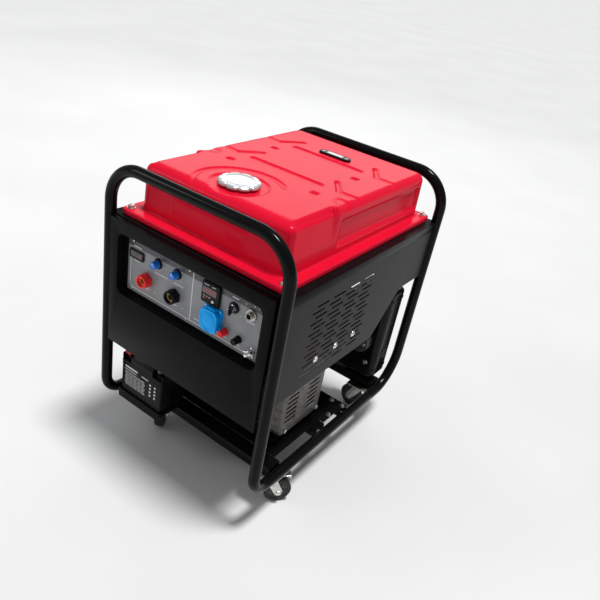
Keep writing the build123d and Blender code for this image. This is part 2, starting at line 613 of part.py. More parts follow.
with BuildPart() as fuel_cap:
    rod("z", (CAP_BASE, CAP_BASE + 8), (0, CAP_Y), CAP_R)
    fillet(fuel_cap.edges().group_by(Axis.Z)[-1], radius=4)
    for i in range(10):
        a = radians(36 * i)
        centre = (50.5 * cos(a), CAP_Y + 50.5 * sin(a))
        rod("z", (CAP_BASE - 1, CAP_BASE + 9), centre, 5.0, Mode.SUBTRACT)
    rod("z", (TANK_TOP - 1.5, CAP_BASE), (0, CAP_Y), NECK_R - 2.3)
save(fuel_cap, "fuel_cap")

with BuildPart() as fuel_gauge:
    with BuildSketch(Plane.XY.offset(TANK_TOP)):
        with Locations((0, GAUGE_Y)):
            SlotOverall(95, 27)
    extrude(amount=6)
    fillet(fuel_gauge.edges().group_by(Axis.Z)[-1], radius=2)
save(fuel_gauge, "fuel_gauge")

# ---------------------------------------------------------------- battery
BATTERY_X = (-222.0, -76.0)
BATTERY_Y = (-322.0, -235.0)
BATTERY_Z = (MEMBER_TOP + SHEET, 222.0)
TERMINALS = {"positive": -204.0, "negative": -94.0}
TERMINAL_Y = -308.0
with BuildPart() as battery_tray:
    tray_x = (BATTERY_X[0] - 4, BATTERY_X[1] + 4)
    tray_front = BATTERY_Y[0] - 3
    block(tray_x, (tray_front, BATTERY_Y[1]), (MEMBER_TOP, MEMBER_TOP + SHEET))
    block(tray_x, (tray_front - SHEET, tray_front), (MEMBER_TOP - 14, MEMBER_TOP + 12))
    for x in (tray_x[0] - SHEET, tray_x[1]):
        block((x, x + SHEET), (tray_front - SHEET, BATTERY_Y[1]), (MEMBER_TOP, MEMBER_TOP + 12))
with BuildPart() as battery_case:
    block(BATTERY_X, BATTERY_Y, BATTERY_Z)
    fillet(battery_case.edges().filter_by(Axis.Z), radius=5)
    recess_y = (BATTERY_Y[0] - 1, TERMINAL_Y + 15)
    recess_z = (BATTERY_Z[1] - 16, BATTERY_Z[1] + 1)
    for x in TERMINALS.values():
        block((x - 16, x + 16), recess_y, recess_z, Mode.SUBTRACT)
with BuildPart() as battery_terminals:
    for x in TERMINALS.values():
        block((x - 7, x + 7), (TERMINAL_Y - 6, TERMINAL_Y + 6), (BATTERY_Z[1] - 16, BATTERY_Z[1] - 3))
save_group([battery_case, battery_terminals], "battery_case")

STRAP_Y = (-276.0, -258.0)
with BuildPart() as battery_strap:
    block((BATTERY_X[0] - 9, BATTERY_X[1] + 9), STRAP_Y, (BATTERY_Z[1], BATTERY_Z[1] + 2))
    for x in (BATTERY_X[0] - 9, BATTERY_X[1] + 7):
        block((x, x + 2), STRAP_Y, (MEMBER_TOP + 14, BATTERY_Z[1]))
save_group([battery_tray, battery_strap], "battery_tray")

# ---------------------------------------------------------------- engine
CASE_X = (-152.0, -12.0)
CASE_BASE = 124.0
CASE_TOP = 318.0
CASE_FRONT = -195.0
BARREL_START = 85.0
BARREL_END = 172.0
HEAD_END = 206.0
COVER_END = 240.0
BEARING_R = 34.0
BEARING_W = 18.0
BEARING_X = {"left": -150.0, "right": -32.0}
WEB_R = 50.0

tilt_r = radians(CYLINDER_TILT)
foot = cylinder_plane(BARREL_START).origin
reach_low = 62.0
reach_high = 58.0
seat_low = (foot.Y + reach_low * sin(tilt_r), foot.Z - reach_low * cos(tilt_r))
seat_high = (foot.Y - reach_high * sin(tilt_r), foot.Z + reach_high * cos(tilt_r))
with BuildPart() as crankcase:
    with BuildSketch(Plane(origin=(CASE_X[0], 0, 0), x_dir=(0, 1, 0), z_dir=(1, 0, 0))):
        with BuildLine():
            Polyline((CASE_FRONT, CASE_BASE + 8), (CASE_FRONT + 8, CASE_BASE),
                     (seat_low[0] + 4, CASE_BASE), (seat_low[0] + 4, seat_low[1] - 8), seat_low,
                     seat_high, (CASE_FRONT + 40, seat_high[1]), (CASE_FRONT, seat_high[1] - 40),
                     (CASE_FRONT, CASE_BASE + 8))
        make_face()
    extrude(amount=CASE_X[1] - CASE_X[0])
    crank_room = (CASE_X[0] + BEARING_W + 2, CASE_X[1] - BEARING_W - 2)
    rod("x", crank_room, (CRANK_Y, CRANK_Z), 60.0, Mode.SUBTRACT)
    rod("x", (CASE_X[0] - 1, CASE_X[1] + 1), (CRANK_Y, CRANK_Z), BEARING_R, Mode.SUBTRACT)
    with BuildSketch(cylinder_plane(20)):
        Circle(BORE_R)
    extrude(amount=80, mode=Mode.SUBTRACT)
with BuildPart() as main_bearings:
    for x in BEARING_X.values():
        ring("x", (x, x + BEARING_W), (CRANK_Y, CRANK_Z), BEARING_R, SHAFT_R + RUNNING)
with BuildPart() as cylinder:
    with BuildSketch(cylinder_plane(BARREL_START)):
        RectangleRounded(104, 104, 16)
        Circle(BORE_R, mode=Mode.SUBTRACT)
    extrude(amount=BARREL_END - BARREL_START)
    for i in range(8):
        with BuildSketch(cylinder_plane(BARREL_START + 7 + i * 10)):
            RectangleRounded(128, 128, 18)
            Circle(BORE_R, mode=Mode.SUBTRACT)
        extrude(amount=3)
save(cylinder, "cylinder")

with BuildPart() as cylinder_head:
    with BuildSketch(cylinder_plane(BARREL_END)):
        RectangleRounded(110, 110, 12)
    extrude(amount=HEAD_END - BARREL_END)
    for i in range(4):
        with BuildSketch(cylinder_plane(BARREL_END + 2 + i * 8)):
            RectangleRounded(132, 122, 10)
        extrude(amount=3)
with BuildPart() as rocker_cover:
    with BuildSketch(cylinder_plane(HEAD_END)):
        RectangleRounded(100, 96, 18)
    extrude(amount=COVER_END - HEAD_END)
    with BuildSketch(cylinder_plane(HEAD_END)):
        RectangleRounded(112, 108, 18)
    extrude(amount=4)
save(rocker_cover, "rocker_cover")

PISTON_CROWN = 140.0
PISTON_L = 50.0
with BuildPart() as piston:
    with BuildSketch(cylinder_plane(PISTON_CROWN - PISTON_L)):
        Circle(BORE_R - RUNNING)
    extrude(amount=PISTON_L)
    with BuildSketch(cylinder_plane(PISTON_CROWN - PISTON_L - 1)):
        Circle(BORE_R - 5)
    extrude(amount=PISTON_L - 10, mode=Mode.SUBTRACT)
    for back in (6, 12, 18):
        with BuildSketch(cylinder_plane(PISTON_CROWN - back)):
            Circle(BORE_R + 1)
            Circle(BORE_R - 2.5, mode=Mode.SUBTRACT)
        extrude(amount=-2, mode=Mode.SUBTRACT)
save(piston, "piston")

SHAFT_X = (-212.0, 200.0)
WEBS = ((-116.0, -98.0), (-66.0, -48.0))
with BuildPart() as crankshaft:
    rod("x", (SHAFT_X[0], WEBS[0][1]), (CRANK_Y, CRANK_Z), SHAFT_R)
    rod("x", (WEBS[1][0], -14), (CRANK_Y, CRANK_Z), SHAFT_R)
    rod("x", (-14, SHAFT_X[1]), (CRANK_Y, CRANK_Z), ROTOR_SHAFT_R)
    for web in WEBS:
        rod("x", web, (CRANK_Y, CRANK_Z), WEB_R)
    rod("x", (WEBS[0][0], WEBS[1][1]), (CRANK_Y, CRANK_Z - STROKE_HALF), 16.0)
save(crankshaft, "crankshaft")

FLYWHEEL_X = (-186.0, -168.0)
with BuildPart() as flywheel:
    rod("x", FLYWHEEL_X, (CRANK_Y, CRANK_Z), 84.0)
    for i in range(16):
        a = radians(22.5 * i)
        fin = (FLYWHEEL_X[0] - 8, CRANK_Y + 66 * cos(a), CRANK_Z + 66 * sin(a))
        with Locations(Location(fin, (22.5 * i, 0, 0))):
            Box(16, 30, 3)
    rod("x", (FLYWHEEL_X[0] - 20, FLYWHEEL_X[1] + 1), (CRANK_Y, CRANK_Z), SHAFT_R, Mode.SUBTRACT)
save(flywheel, "flywheel")

SHROUD_X = (-208.0, -153.0)
with BuildPart() as blower_housing:
    rod("x", SHROUD_X, (CRANK_Y, CRANK_Z), 101.0)
    rod("x", (SHROUD_X[0] + 2, SHROUD_X[1] + 1), (CRANK_Y, CRANK_Z), 99.0, Mode.SUBTRACT)
    rod("x", (SHROUD_X[0] - 1, SHROUD_X[0] + 3), (CRANK_Y, CRANK_Z), 62.0, Mode.SUBTRACT)
save(blower_housing, "blower_housing")

RECOIL_X = (-240.0, -208.0)
with BuildPart() as recoil_cover:
    rod("x", RECOIL_X, (CRANK_Y, CRANK_Z), 74.0)
    fillet(recoil_cover.edges().group_by(Axis.X)[0], radius=8)
    rod("x", (RECOIL_X[0] + 3, RECOIL_X[1] + 1), (CRANK_Y, CRANK_Z), 71.0, Mode.SUBTRACT)
    for i in range(18):
        a = radians(20 * i)
        vent = (RECOIL_X[0], CRANK_Y + 50 * cos(a), CRANK_Z + 50 * sin(a))
        with Locations(Location(vent, (20 * i, 0, 0))):
            Box(20, 26, 5, mode=Mode.SUBTRACT)

with BuildPart() as recoil_pulley:
    rod("x", (-232, -226), (CRANK_Y, CRANK_Z), 45.0)
    rod("x", (-226, -214), (CRANK_Y, CRANK_Z), 30.0)
    rod("x", (-236, -232), (CRANK_Y, CRANK_Z), 8.0)
HANDLE_Y = CRANK_Y - 64.0
HANDLE_Z = CRANK_Z + 54.0
with BuildPart() as rope_guide:
    block((-238, -212), (HANDLE_Y - 10, HANDLE_Y + 10), (HANDLE_Z - 10, HANDLE_Z + 10))
    rod("x", (-239, -211), (HANDLE_Y, HANDLE_Z), 4.5, Mode.SUBTRACT)
    rod("x", (-241, -211), (CRANK_Y, CRANK_Z), 74.3, Mode.SUBTRACT)
save_group([recoil_cover, recoil_pulley, rope_guide], "recoil_cover")

with BuildPart() as recoil_handle:
    rod("z", (HANDLE_Z - 26, HANDLE_Z + 26), (-249, HANDLE_Y), 9.0)
    fillet(recoil_handle.edges().filter_by(GeomType.CIRCLE), radius=4)
    rod("x", (-246, -216), (HANDLE_Y, HANDLE_Z), 3.6)
save(recoil_handle, "recoil_handle")

STARTER = (-130.0, 348.0)
with BuildPart() as starter_motor:
    rod("x", (-150, -40), STARTER, 28.0)
    rod("x", (-120, -50), (STARTER[0] + 42, STARTER[1] - 12), 15.0)
    block((-125, -60), (STARTER[0] - 16, STARTER[0] + 50), (seat_high[1], STARTER[1] - 12))
save(starter_motor, "starter_motor")

DIPSTICK_X = -45.0
with BuildPart() as dipstick:
    rod("y", (CASE_FRONT - 14, CASE_FRONT - 0.3), (DIPSTICK_X, 150), 13.0)
    block((DIPSTICK_X - 13, DIPSTICK_X + 13), (CASE_FRONT - 26, CASE_FRONT - 14), (146, 154))
save(dipstick, "oil_dipstick")

with BuildPart() as drain_plug:
    hex_head(Plane(origin=(-110, CASE_FRONT, 140), x_dir=(1, 0, 0), z_dir=(0, -1, 0)), 17.0, 9.0)
save_group([crankcase, drain_plug], "crankcase")

with BuildPart() as spark_plug:
    with BuildSketch(cylinder_plane(BARREL_END + 12)):
        with Locations((0, 70)):
            Circle(8)
    extrude(amount=12)
save_group([cylinder_head, spark_plug], "cylinder_head")

# air intake: carburettor beside the head, then the filter box
HEAD_MID = cylinder_plane((BARREL_END + HEAD_END) / 2).origin
CARB_X = (-196.0, ENGINE_X - 66.5)
with BuildPart() as carburettor:
    rod("x", CARB_X, (HEAD_MID.Y, HEAD_MID.Z), 16.0)
    rod("z", (HEAD_MID.Z - 42, HEAD_MID.Z), (-172, HEAD_MID.Y), 17.0)
    block((-184, -160), (HEAD_MID.Y - 15, HEAD_MID.Y + 15), (HEAD_MID.Z - 10, HEAD_MID.Z + 22))
    rod("x", (CARB_X[0] - 1, CARB_X[1] + 1), (HEAD_MID.Y, HEAD_MID.Z), 11.0, Mode.SUBTRACT)
save(carburettor, "carburettor")

with BuildPart() as choke_lever:
    rod("y", (HEAD_MID.Y - 21, HEAD_MID.Y - 15.3), (-172, HEAD_MID.Z + 14), 5.0)
    block((-174.5, -169.5), (HEAD_MID.Y - 21, HEAD_MID.Y - 18), (HEAD_MID.Z + 14, HEAD_MID.Z + 40))
save(choke_lever, "choke_lever")

with BuildPart() as air_filter:
    filter_y = (HEAD_MID.Y - 45, HEAD_MID.Y + 95)
    filter_z = (HEAD_MID.Z - 25, HEAD_MID.Z + 85)
    block((-240, CARB_X[0] - 0.2), filter_y, filter_z)
    fillet(air_filter.edges().filter_by(Axis.X), radius=14)
    fillet(air_filter.faces().sort_by(Axis.X)[0].edges(), radius=6)
    room = [(v[0] + 8, v[1] - 8) for v in (filter_y, filter_z)]
    block((-236, CARB_X[0] - 3), room[0], room[1], Mode.SUBTRACT)
    rod("x", (CARB_X[0] - 4, CARB_X[0] + 1), (HEAD_MID.Y, HEAD_MID.Z), 11.0, Mode.SUBTRACT)
with BuildPart() as filter_element:
    block((-228, -208), room[0], room[1])
save_group([air_filter, filter_element], "air_filter_box")

# exhaust: pipe from the head across to the upright silencer at the rear right corner
SILENCER_X = (126.0, 238.0)
SILENCER_Y = (232.0, 322.0)
SILENCER_Z = (116.0, 404.0)
PIPE_START = (ENGINE_X + 66.5, HEAD_MID.Y, HEAD_MID.Z)
PIPE_R = 15.0
PIPE_BORE_R = 12.5
INLET = (172.0, 236.0)
OUTLET = (182.0, 340.0)
with BuildPart() as exhaust_pipe:
    turn = (INLET[0], HEAD_MID.Y, HEAD_MID.Z)
    drop = (INLET[0], HEAD_MID.Y + 84, INLET[1])
    inlet_end = (INLET[0], SILENCER_Y[0], INLET[1])
    tube_along([PIPE_START, turn, drop, inlet_end], [45.0, 45.0], PIPE_R, PIPE_BORE_R)
with BuildPart() as silencer_room:
    block(*[(v[0] + SHEET, v[1] - SHEET) for v in (SILENCER_X, SILENCER_Y, SILENCER_Z)])
    fillet(silencer_room.edges().filter_by(Axis.Z), radius=22 - SHEET)
    fillet(silencer_room.edges().group_by(Axis.Z)[-1], radius=10 - SHEET)
    fillet(silencer_room.edges().group_by(Axis.Z)[0], radius=10 - SHEET)
with BuildPart() as silencer:
    block(SILENCER_X, SILENCER_Y, SILENCER_Z)
    fillet(silencer.edges().filter_by(Axis.Z), radius=22)
    fillet(silencer.edges().group_by(Axis.Z)[-1], radius=10)
    fillet(silencer.edges().group_by(Axis.Z)[0], radius=10)
    add(silencer_room.part, mode=Mode.SUBTRACT)
    rod("y", (SILENCER_Y[0] - 1, SILENCER_Y[0] + 5), INLET, PIPE_BORE_R, Mode.SUBTRACT)
    rod("y", (SILENCER_Y[1] - 5, SILENCER_Y[1] + 1), OUTLET, 9.0, Mode.SUBTRACT)
with BuildPart() as exhaust_flange:
    block((140, 204), (SILENCER_Y[0] - 22, SILENCER_Y[0]), (210, 262))
    fillet(exhaust_flange.edges().filter_by(Axis.Y), radius=9)
    rod("y", (SILENCER_Y[0] - 23, SILENCER_Y[0] + 1), INLET, PIPE_R, Mode.SUBTRACT)

with BuildPart() as tail_pipe:
    ring("y", (SILENCER_Y[1], SILENCER_Y[1] + 16), OUTLET, 11.0, 9.0)
# flat shield that keeps the heat of the silencer off the alternator
with BuildPart() as heat_shield:
    block((-10, 156), (SILENCER_Y[0] - SHEET, SILENCER_Y[0]), (120, 375))
    add(exhaust_flange.part, mode=Mode.SUBTRACT)
    add(exhaust_pipe.part, mode=Mode.SUBTRACT)
save_group([silencer, exhaust_pipe, exhaust_flange, heat_shield, tail_pipe], "silencer")

# ---------------------------------------------------------------- alternator
ADAPTER_X = (-12.0, 22.0)
STATOR_X = (22.0, 150.0)
END_X = (150.0, 210.0)
STATOR_R = 92.0
STATOR_BORE = 62.0
END_HALF = 92.0
with BuildPart() as adapter:
    rod("x", ADAPTER_X, (CRANK_Y, CRANK_Z), 96.0)
    rod("x", (ADAPTER_X[0] + 6, ADAPTER_X[1] + 1), (CRANK_Y, CRANK_Z), 88.0, Mode.SUBTRACT)
    rod("x", (ADAPTER_X[0] - 1, ADAPTER_X[0] + 7), (CRANK_Y, CRANK_Z), 40.0, Mode.SUBTRACT)
with BuildPart() as stator:
    ring("x", STATOR_X, (CRANK_Y, CRANK_Z), STATOR_R, STATOR_BORE)
save_group([adapter, stator], "stator_core")

with BuildPart() as rotor:
    ring("x", (30, 140), (CRANK_Y, CRANK_Z), STATOR_BORE - 0.8, ROTOR_SHAFT_R)
    ring("x", (0, 4), (CRANK_Y, CRANK_Z), 84.0, ROTOR_SHAFT_R)
    for i in range(12):
        a = radians(30 * i)
        with Locations(Location((10, CRANK_Y + 64 * cos(a), CRANK_Z + 64 * sin(a)), (30 * i, 0, 0))):
            Box(12, 36, 2.5)
save(rotor, "rotor")

with BuildPart() as end_cover:
    end_plane = Plane(origin=(END_X[0], CRANK_Y, CRANK_Z), x_dir=(0, 1, 0), z_dir=(1, 0, 0))
    with BuildSketch(end_plane):
        RectangleRounded(2 * END_HALF, 2 * END_HALF + 16, 30)
    extrude(amount=END_X[1] - END_X[0])
    fillet(end_cover.faces().sort_by(Axis.X)[-1].edges(), radius=8)
    with BuildSketch(end_plane):
        RectangleRounded(2 * END_HALF - 12, 2 * END_HALF + 4, 26)
    extrude(amount=END_X[1] - END_X[0] - 6, mode=Mode.SUBTRACT)
    rod("x", (END_X[1] - 28, END_X[1] - 6), (CRANK_Y, CRANK_Z), 34.0)
    rod("x", (END_X[1] - 29, END_X[1] - 8), (CRANK_Y, CRANK_Z), 27.0, Mode.SUBTRACT)
    with BuildSketch(Plane(origin=(END_X[1] + 1, CRANK_Y, CRANK_Z), x_dir=(0, 1, 0), z_dir=(1, 0, 0))):
        for y in (-48, 42):
            for row in range(9):
                with Locations((y, -54 + row * 15)):
                    SlotOverall(46, 6)
    extrude(amount=-12, mode=Mode.SUBTRACT)
with BuildPart() as tail_bearing:
    ring("x", (183, 199), (CRANK_Y, CRANK_Z), 27.0, ROTOR_SHAFT_R + RUNNING)
save_group([main_bearings, tail_bearing], "shaft_bearings")

with BuildPart() as alternator_bolts:
    for y in (-70, 70):
        for z in (-78, 78):
            rod("x", (END_X[1], END_X[1] + 4), (CRANK_Y + y, CRANK_Z + z), 7.0)
save_group([end_cover, alternator_bolts], "alternator_end_cover")

# ---------------------------------------------------------------- tray and mounts
MOUNT_PLACES = [(-130.0, -176.0), (-130.0, -34.0), (178.0, -176.0), (178.0, -34.0)]
TRAY_TOP = MEMBER_TOP + 3.0
with BuildPart() as engine_tray:
    block((-225, 225), (-217, 70), (MEMBER_TOP, TRAY_TOP))
    block((-150, 150), (-150, -60), (MEMBER_TOP - 1, TRAY_TOP + 1), Mode.SUBTRACT)
    block((225, 238), (-14, 70), (MEMBER_TOP, TRAY_TOP))
with BuildPart() as rubber_mounts:
    for x, y in MOUNT_PLACES:
        rod("z", (TRAY_TOP, 120.0), (x, y), 17.0)
with BuildPart() as mount_feet:
    for x, y in MOUNT_PLACES:
        block((x - 24, x + 24), (y - 20, y + 20), (120.0, 124.0))
save_group([engine_tray, rubber_mounts, mount_feet], "engine_tray")

# ---------------------------------------------------------------- battery leads
LEAD_R = 3.5
LEADS = {
    "positive": [(-204, -308, 219), (-206, -302, 270), (-214, -228, 306),
                 (-206, -170, 345), (-150.2, STARTER[0], STARTER[1])],
    "negative": [(-94, -308, 219), (-95, -296, 280), (-100, -236, 282), (-97, -195, 246)],
}


def bend_radii(points):
    """Bend radius at each inner point, as large as its two straight runs allow."""
    radii = []
    for before, here, after in zip(points, points[1:], points[2:]):
        run_in = Vector(*here) - Vector(*before)
        run_out = Vector(*after) - Vector(*here)
        half_turn = radians(run_in.get_angle(run_out)) / 2
        radii.append(0.45 * min(run_in.length, run_out.length) / tan(half_turn))
    return radii


leads = []
for points in LEADS.values():
    radii = bend_radii(points)
    print("battery lead bends", [round(r, 1) for r in radii])
    with BuildPart() as lead:
        tube_along(points, radii, LEAD_R)
        for joined in (battery_case, battery_terminals, crankcase, starter_motor):
            add(joined.part, mode=Mode.SUBTRACT)
    leads.append(lead)
save_group(leads, "battery_leads")
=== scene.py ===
"""Looks of the engine driven welder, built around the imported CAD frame. Lengths in the code are
millimetres unless a name ends in _m; M turns them into Blender's metres."""

import json
import math

import bmesh
import bpy
from mathutils import Matrix, Vector


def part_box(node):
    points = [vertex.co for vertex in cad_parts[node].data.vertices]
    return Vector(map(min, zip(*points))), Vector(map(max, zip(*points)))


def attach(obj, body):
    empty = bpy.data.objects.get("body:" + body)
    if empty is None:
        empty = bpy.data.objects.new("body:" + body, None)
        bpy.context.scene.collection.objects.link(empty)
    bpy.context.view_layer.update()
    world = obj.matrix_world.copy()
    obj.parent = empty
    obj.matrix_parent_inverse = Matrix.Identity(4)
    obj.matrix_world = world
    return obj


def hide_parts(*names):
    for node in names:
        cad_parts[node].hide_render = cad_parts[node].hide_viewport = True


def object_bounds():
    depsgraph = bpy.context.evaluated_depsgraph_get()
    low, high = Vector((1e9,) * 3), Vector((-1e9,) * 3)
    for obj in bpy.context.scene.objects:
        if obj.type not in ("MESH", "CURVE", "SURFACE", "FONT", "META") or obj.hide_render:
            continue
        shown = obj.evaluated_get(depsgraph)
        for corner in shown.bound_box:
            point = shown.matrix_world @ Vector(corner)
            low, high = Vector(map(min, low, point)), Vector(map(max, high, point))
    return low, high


M = 0.001
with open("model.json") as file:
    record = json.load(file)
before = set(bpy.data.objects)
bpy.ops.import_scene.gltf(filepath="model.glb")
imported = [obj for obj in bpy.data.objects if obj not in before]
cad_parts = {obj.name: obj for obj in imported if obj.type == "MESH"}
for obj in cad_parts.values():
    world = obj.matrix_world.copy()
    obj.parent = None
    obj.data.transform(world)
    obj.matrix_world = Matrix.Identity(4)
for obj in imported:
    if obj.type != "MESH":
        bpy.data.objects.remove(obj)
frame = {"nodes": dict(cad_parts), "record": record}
cad_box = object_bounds()
nodes = frame["nodes"]
TOP_ABOVE_DATUM = 749.5
LIFT = cad_box[1][2] / M - TOP_ABOVE_DATUM  # shapes are drawn above a datum plane this far off the floor


# ---------- camera
CAMERA_PLACE_M = (0.81983, -1.26168, 1.22957)  # its height is above the datum plane
CAMERA_RIGHT = (0.787766, 0.596066, 0.155338)
CAMERA_UP = (-0.411027, 0.320844, 0.853297)
CAMERA_BACK = (0.458783, -0.736047, 0.497749)


def link(name, data):
    """New object holding data, put in the scene."""
    thing = bpy.data.objects.new(name, data)
    bpy.context.scene.collection.objects.link(thing)
    return thing


def make_camera():
    data = bpy.data.cameras.new("camera")
    data.sensor_width = 36.0
    data.lens = 38.608
    data.shift_x = 0.0281
    data.shift_y = 0.0035
    data.clip_start = 0.05
    data.clip_end = 500.0
    camera = link("camera", data)
    rotation = Matrix((CAMERA_RIGHT, CAMERA_UP, CAMERA_BACK)).transposed().to_4x4()
    place = Matrix.Translation(Vector(CAMERA_PLACE_M) + Vector((0, 0, LIFT * M)))
    camera.matrix_world = place @ rotation
    bpy.context.scene.camera = camera


make_camera()


# ---------- materials
def new_material(name):
    material = bpy.data.materials.new(name)
    material.use_nodes = True
    tree = material.node_tree
    shader = tree.nodes["Principled BSDF"]
    coords = tree.nodes.new("ShaderNodeTexCoord")
    return material, tree, shader, coords


def put(node, **values):
    """Sets inputs of a node. Underscores in a name stand for spaces."""
    for name, value in values.items():
        node.inputs[name.replace("_", " ")].default_value = value


def noise(tree, coords, scale, detail=2.0, roughness=0.5, stretch=None):
    """Noise in object space. Scale is in features per metre."""
    node = tree.nodes.new("ShaderNodeTexNoise")
    put(node, Scale=scale, Detail=detail, Roughness=roughness)
    if stretch:
        mapping = tree.nodes.new("ShaderNodeMapping")
        put(mapping, Scale=stretch)
        tree.links.new(coords.outputs["Object"], mapping.inputs["Vector"])
        tree.links.new(mapping.outputs["Vector"], node.inputs["Vector"])
    else:
        tree.links.new(coords.outputs["Object"], node.inputs["Vector"])
    return node.outputs["Fac"]


def ramp(tree, value, stops):
    node = tree.nodes.new("ShaderNodeValToRGB")
    elements = node.color_ramp.elements
    while len(elements) < len(stops):
        elements.new(0.5)
    for element, (position, color) in zip(elements, stops):
        element.position = position
        element.color = (*color, 1.0)
    tree.links.new(value, node.inputs["Fac"])
    return node.outputs["Color"]


def span(tree, value, low, high, from_low=0.3, from_high=0.7):
    node = tree.nodes.new("ShaderNodeMapRange")
    put(node, From_Min=from_low, From_Max=from_high, To_Min=low, To_Max=high)
    tree.links.new(value, node.inputs["Value"])
    return node.outputs["Result"]


def bump(tree, shader, height, strength, distance_m):
    node = tree.nodes.new("ShaderNodeBump")
    put(node, Strength=strength, Distance=distance_m)
    tree.links.new(height, node.inputs["Height"])
    tree.links.new(node.outputs["Normal"], shader.inputs["Normal"])


def shade(color, factor):
    return tuple(min(1.0, c * factor) for c in color)


DUST_COLOR = (0.35, 0.34, 0.32, 1.0)


def surface(name, color, rough, metal=0.0, spread=0.12, grain=900.0, grain_depth=0.00004, patch=14.0,
        coat=0.0, coat_rough=0.05, stretch=None, rough_spread=0.05, specular=0.5, dust=0.0):
    """General finish: colour that drifts in patches, roughness from a fine noise, bump from a grain."""
    material, tree, shader, coords = new_material(name)
    patches = noise(tree, coords, patch, 4.0)
    fine = noise(tree, coords, grain, 3.0, 0.6, stretch)
    tint = ramp(tree, patches, [(0.3, shade(color, 1 - spread)), (0.7, shade(color, 1 + spread))])
    if dust > 0:
        mix = tree.nodes.new("ShaderNodeMix")
        mix.data_type = "RGBA"
        specks = span(tree, noise(tree, coords, 60.0, 6.0, 0.7), 0.0, dust, 0.52, 0.75)
        tree.links.new(specks, mix.inputs["Factor"])
        tree.links.new(tint, mix.inputs["A"])
        put(mix, B=DUST_COLOR)
        tint = mix.outputs["Result"]
    tree.links.new(tint, shader.inputs["Base Color"])
    tree.links.new(span(tree, fine, rough - rough_spread, rough + rough_spread), shader.inputs["Roughness"])
    put(shader, Metallic=metal, Specular_IOR_Level=specular, Coat_Weight=coat, Coat_Roughness=coat_rough)
    bump(tree, shader, fine, 0.6, grain_depth)
    return material


MAT = {
    "frame": surface("frame_gloss_black", (0.0035, 0.0036, 0.004), 0.15, spread=0.2, grain=420,
        grain_depth=0.00003, specular=0.10, dust=0.004),
    "sheet": surface("cover_satin_black", (0.0045, 0.0047, 0.0052), 0.27, spread=0.2, grain=700,
        grain_depth=0.00003, specular=0.05, dust=0.005),
    "tank": surface("tank_red", (0.70, 0.006, 0.030), 0.24, spread=0.05, grain=1400, grain_depth=0.000006,
        coat=0.04, coat_rough=0.04, patch=6, specular=0.06),
    "zinc": surface("zinc_plate", (0.62, 0.61, 0.57), 0.30, metal=1.0, spread=0.14, grain=500, patch=90),
    "steel": surface("machined_steel", (0.5, 0.5, 0.52), 0.3, metal=1.0, grain=1200, stretch=(1, 8, 1)),
    "rubber": surface("wheel_rubber", (0.008, 0.008, 0.008), 0.62, spread=0.3, grain=1500,
        grain_depth=0.0001, dust=0.05),
    "knob_blue": surface("knob_blue", (0.008, 0.19, 0.75), 0.3, spread=0.1, coat=0.3),
    "socket_blue": surface("socket_blue", (0.0, 0.40, 1.0), 0.34, spread=0.04, grain_depth=0.00002,
        specular=0.2),
    "plastic": surface("black_plastic", (0.006, 0.006, 0.0065), 0.42, spread=0.25, grain=1800,
        grain_depth=0.00005, specular=0.15),
    "battery": surface("battery_case", (0.005, 0.005, 0.0055), 0.33, spread=0.3, grain=2200,
        grain_depth=0.00006, dust=0.02, specular=0.12),
    "white": surface("white_plastic", (0.8, 0.8, 0.79), 0.4, spread=0.04),
    "red": surface("red_plastic", (0.92, 0.03, 0.035), 0.3, spread=0.06, specular=0.25),
    "brass": surface("brass", (0.62, 0.42, 0.16), 0.28, metal=1.0, spread=0.2, patch=120),
    "chrome": surface("chrome", (0.78, 0.78, 0.79), 0.12, metal=1.0, spread=0.05, rough_spread=0.04),
    "cap": surface("cap_silver", (0.74, 0.76, 0.78), 0.3, metal=0.7, spread=0.04, grain=900,
        grain_depth=0.00001, patch=60),
    "cast": surface("cast_aluminium", (0.115, 0.11, 0.102), 0.42, metal=0.75, spread=0.38, grain=900,
        grain_depth=0.0004, patch=70),
    "machined": surface("machined_aluminium", (0.66, 0.66, 0.67), 0.28, metal=1.0, grain=900,
        stretch=(1, 1, 12)),
    "iron": surface("cast_iron", (0.12, 0.12, 0.125), 0.6, metal=0.6, spread=0.3, grain=900,
        grain_depth=0.0003, patch=60),
    "exhaust": surface("heat_black", (0.005, 0.005, 0.0055), 0.2, spread=0.35, grain=600,
        grain_depth=0.00006, specular=0.12),
    "nickel": surface("nickel", (0.42, 0.41, 0.37), 0.22, metal=1.0, spread=0.25, patch=150),
    "lead_red": surface("lead_red", (0.40, 0.006, 0.015), 0.3, spread=0.15, specular=0.35),
    "ink_grey": surface("ink_grey", (0.34, 0.35, 0.37), 0.45, spread=0.06),
    "panel_sheet": surface("side_panel_satin", (0.014, 0.012, 0.0115), 0.36, spread=0.15, grain=800,
        grain_depth=0.00004, specular=0.08, dust=0.015),
    "hub": surface("wheel_hub", (0.03, 0.03, 0.031), 0.45, spread=0.2, grain=900, dust=0.1),
    "ink_light": surface("ink_light", (0.72, 0.73, 0.74), 0.5, spread=0.05),
    # Dark ink for printed marks; the same dark is also painted shade, standing for the darkness inside screw
    # recesses and the weld socket bores.
    "ink_and_recess_shade_dark": surface("ink_and_recess_shade_dark", (0.03, 0.03, 0.032), 0.5, spread=0.1),
}


def glass_material(name, color, rough):
    material, tree, shader, coords = new_material(name)
    tint = ramp(tree, noise(tree, coords, 40, 3), [(0.3, shade(color, 0.9)), (0.7, shade(color, 1.1))])
    tree.links.new(tint, shader.inputs["Base Color"])
    tree.links.new(span(tree, noise(tree, coords, 300, 3), rough, rough + 0.04), shader.inputs["Roughness"])
    put(shader, Coat_Weight=1.0, Coat_Roughness=0.03)
    return material


MAT["display_red"] = glass_material("display_red", (0.10, 0.004, 0.008), 0.1)
MAT["glass"] = glass_material("gauge_window", (0.45, 0.47, 0.48), 0.06)
MAT["display_black"] = glass_material("display_black", (0.008, 0.008, 0.009), 0.1)


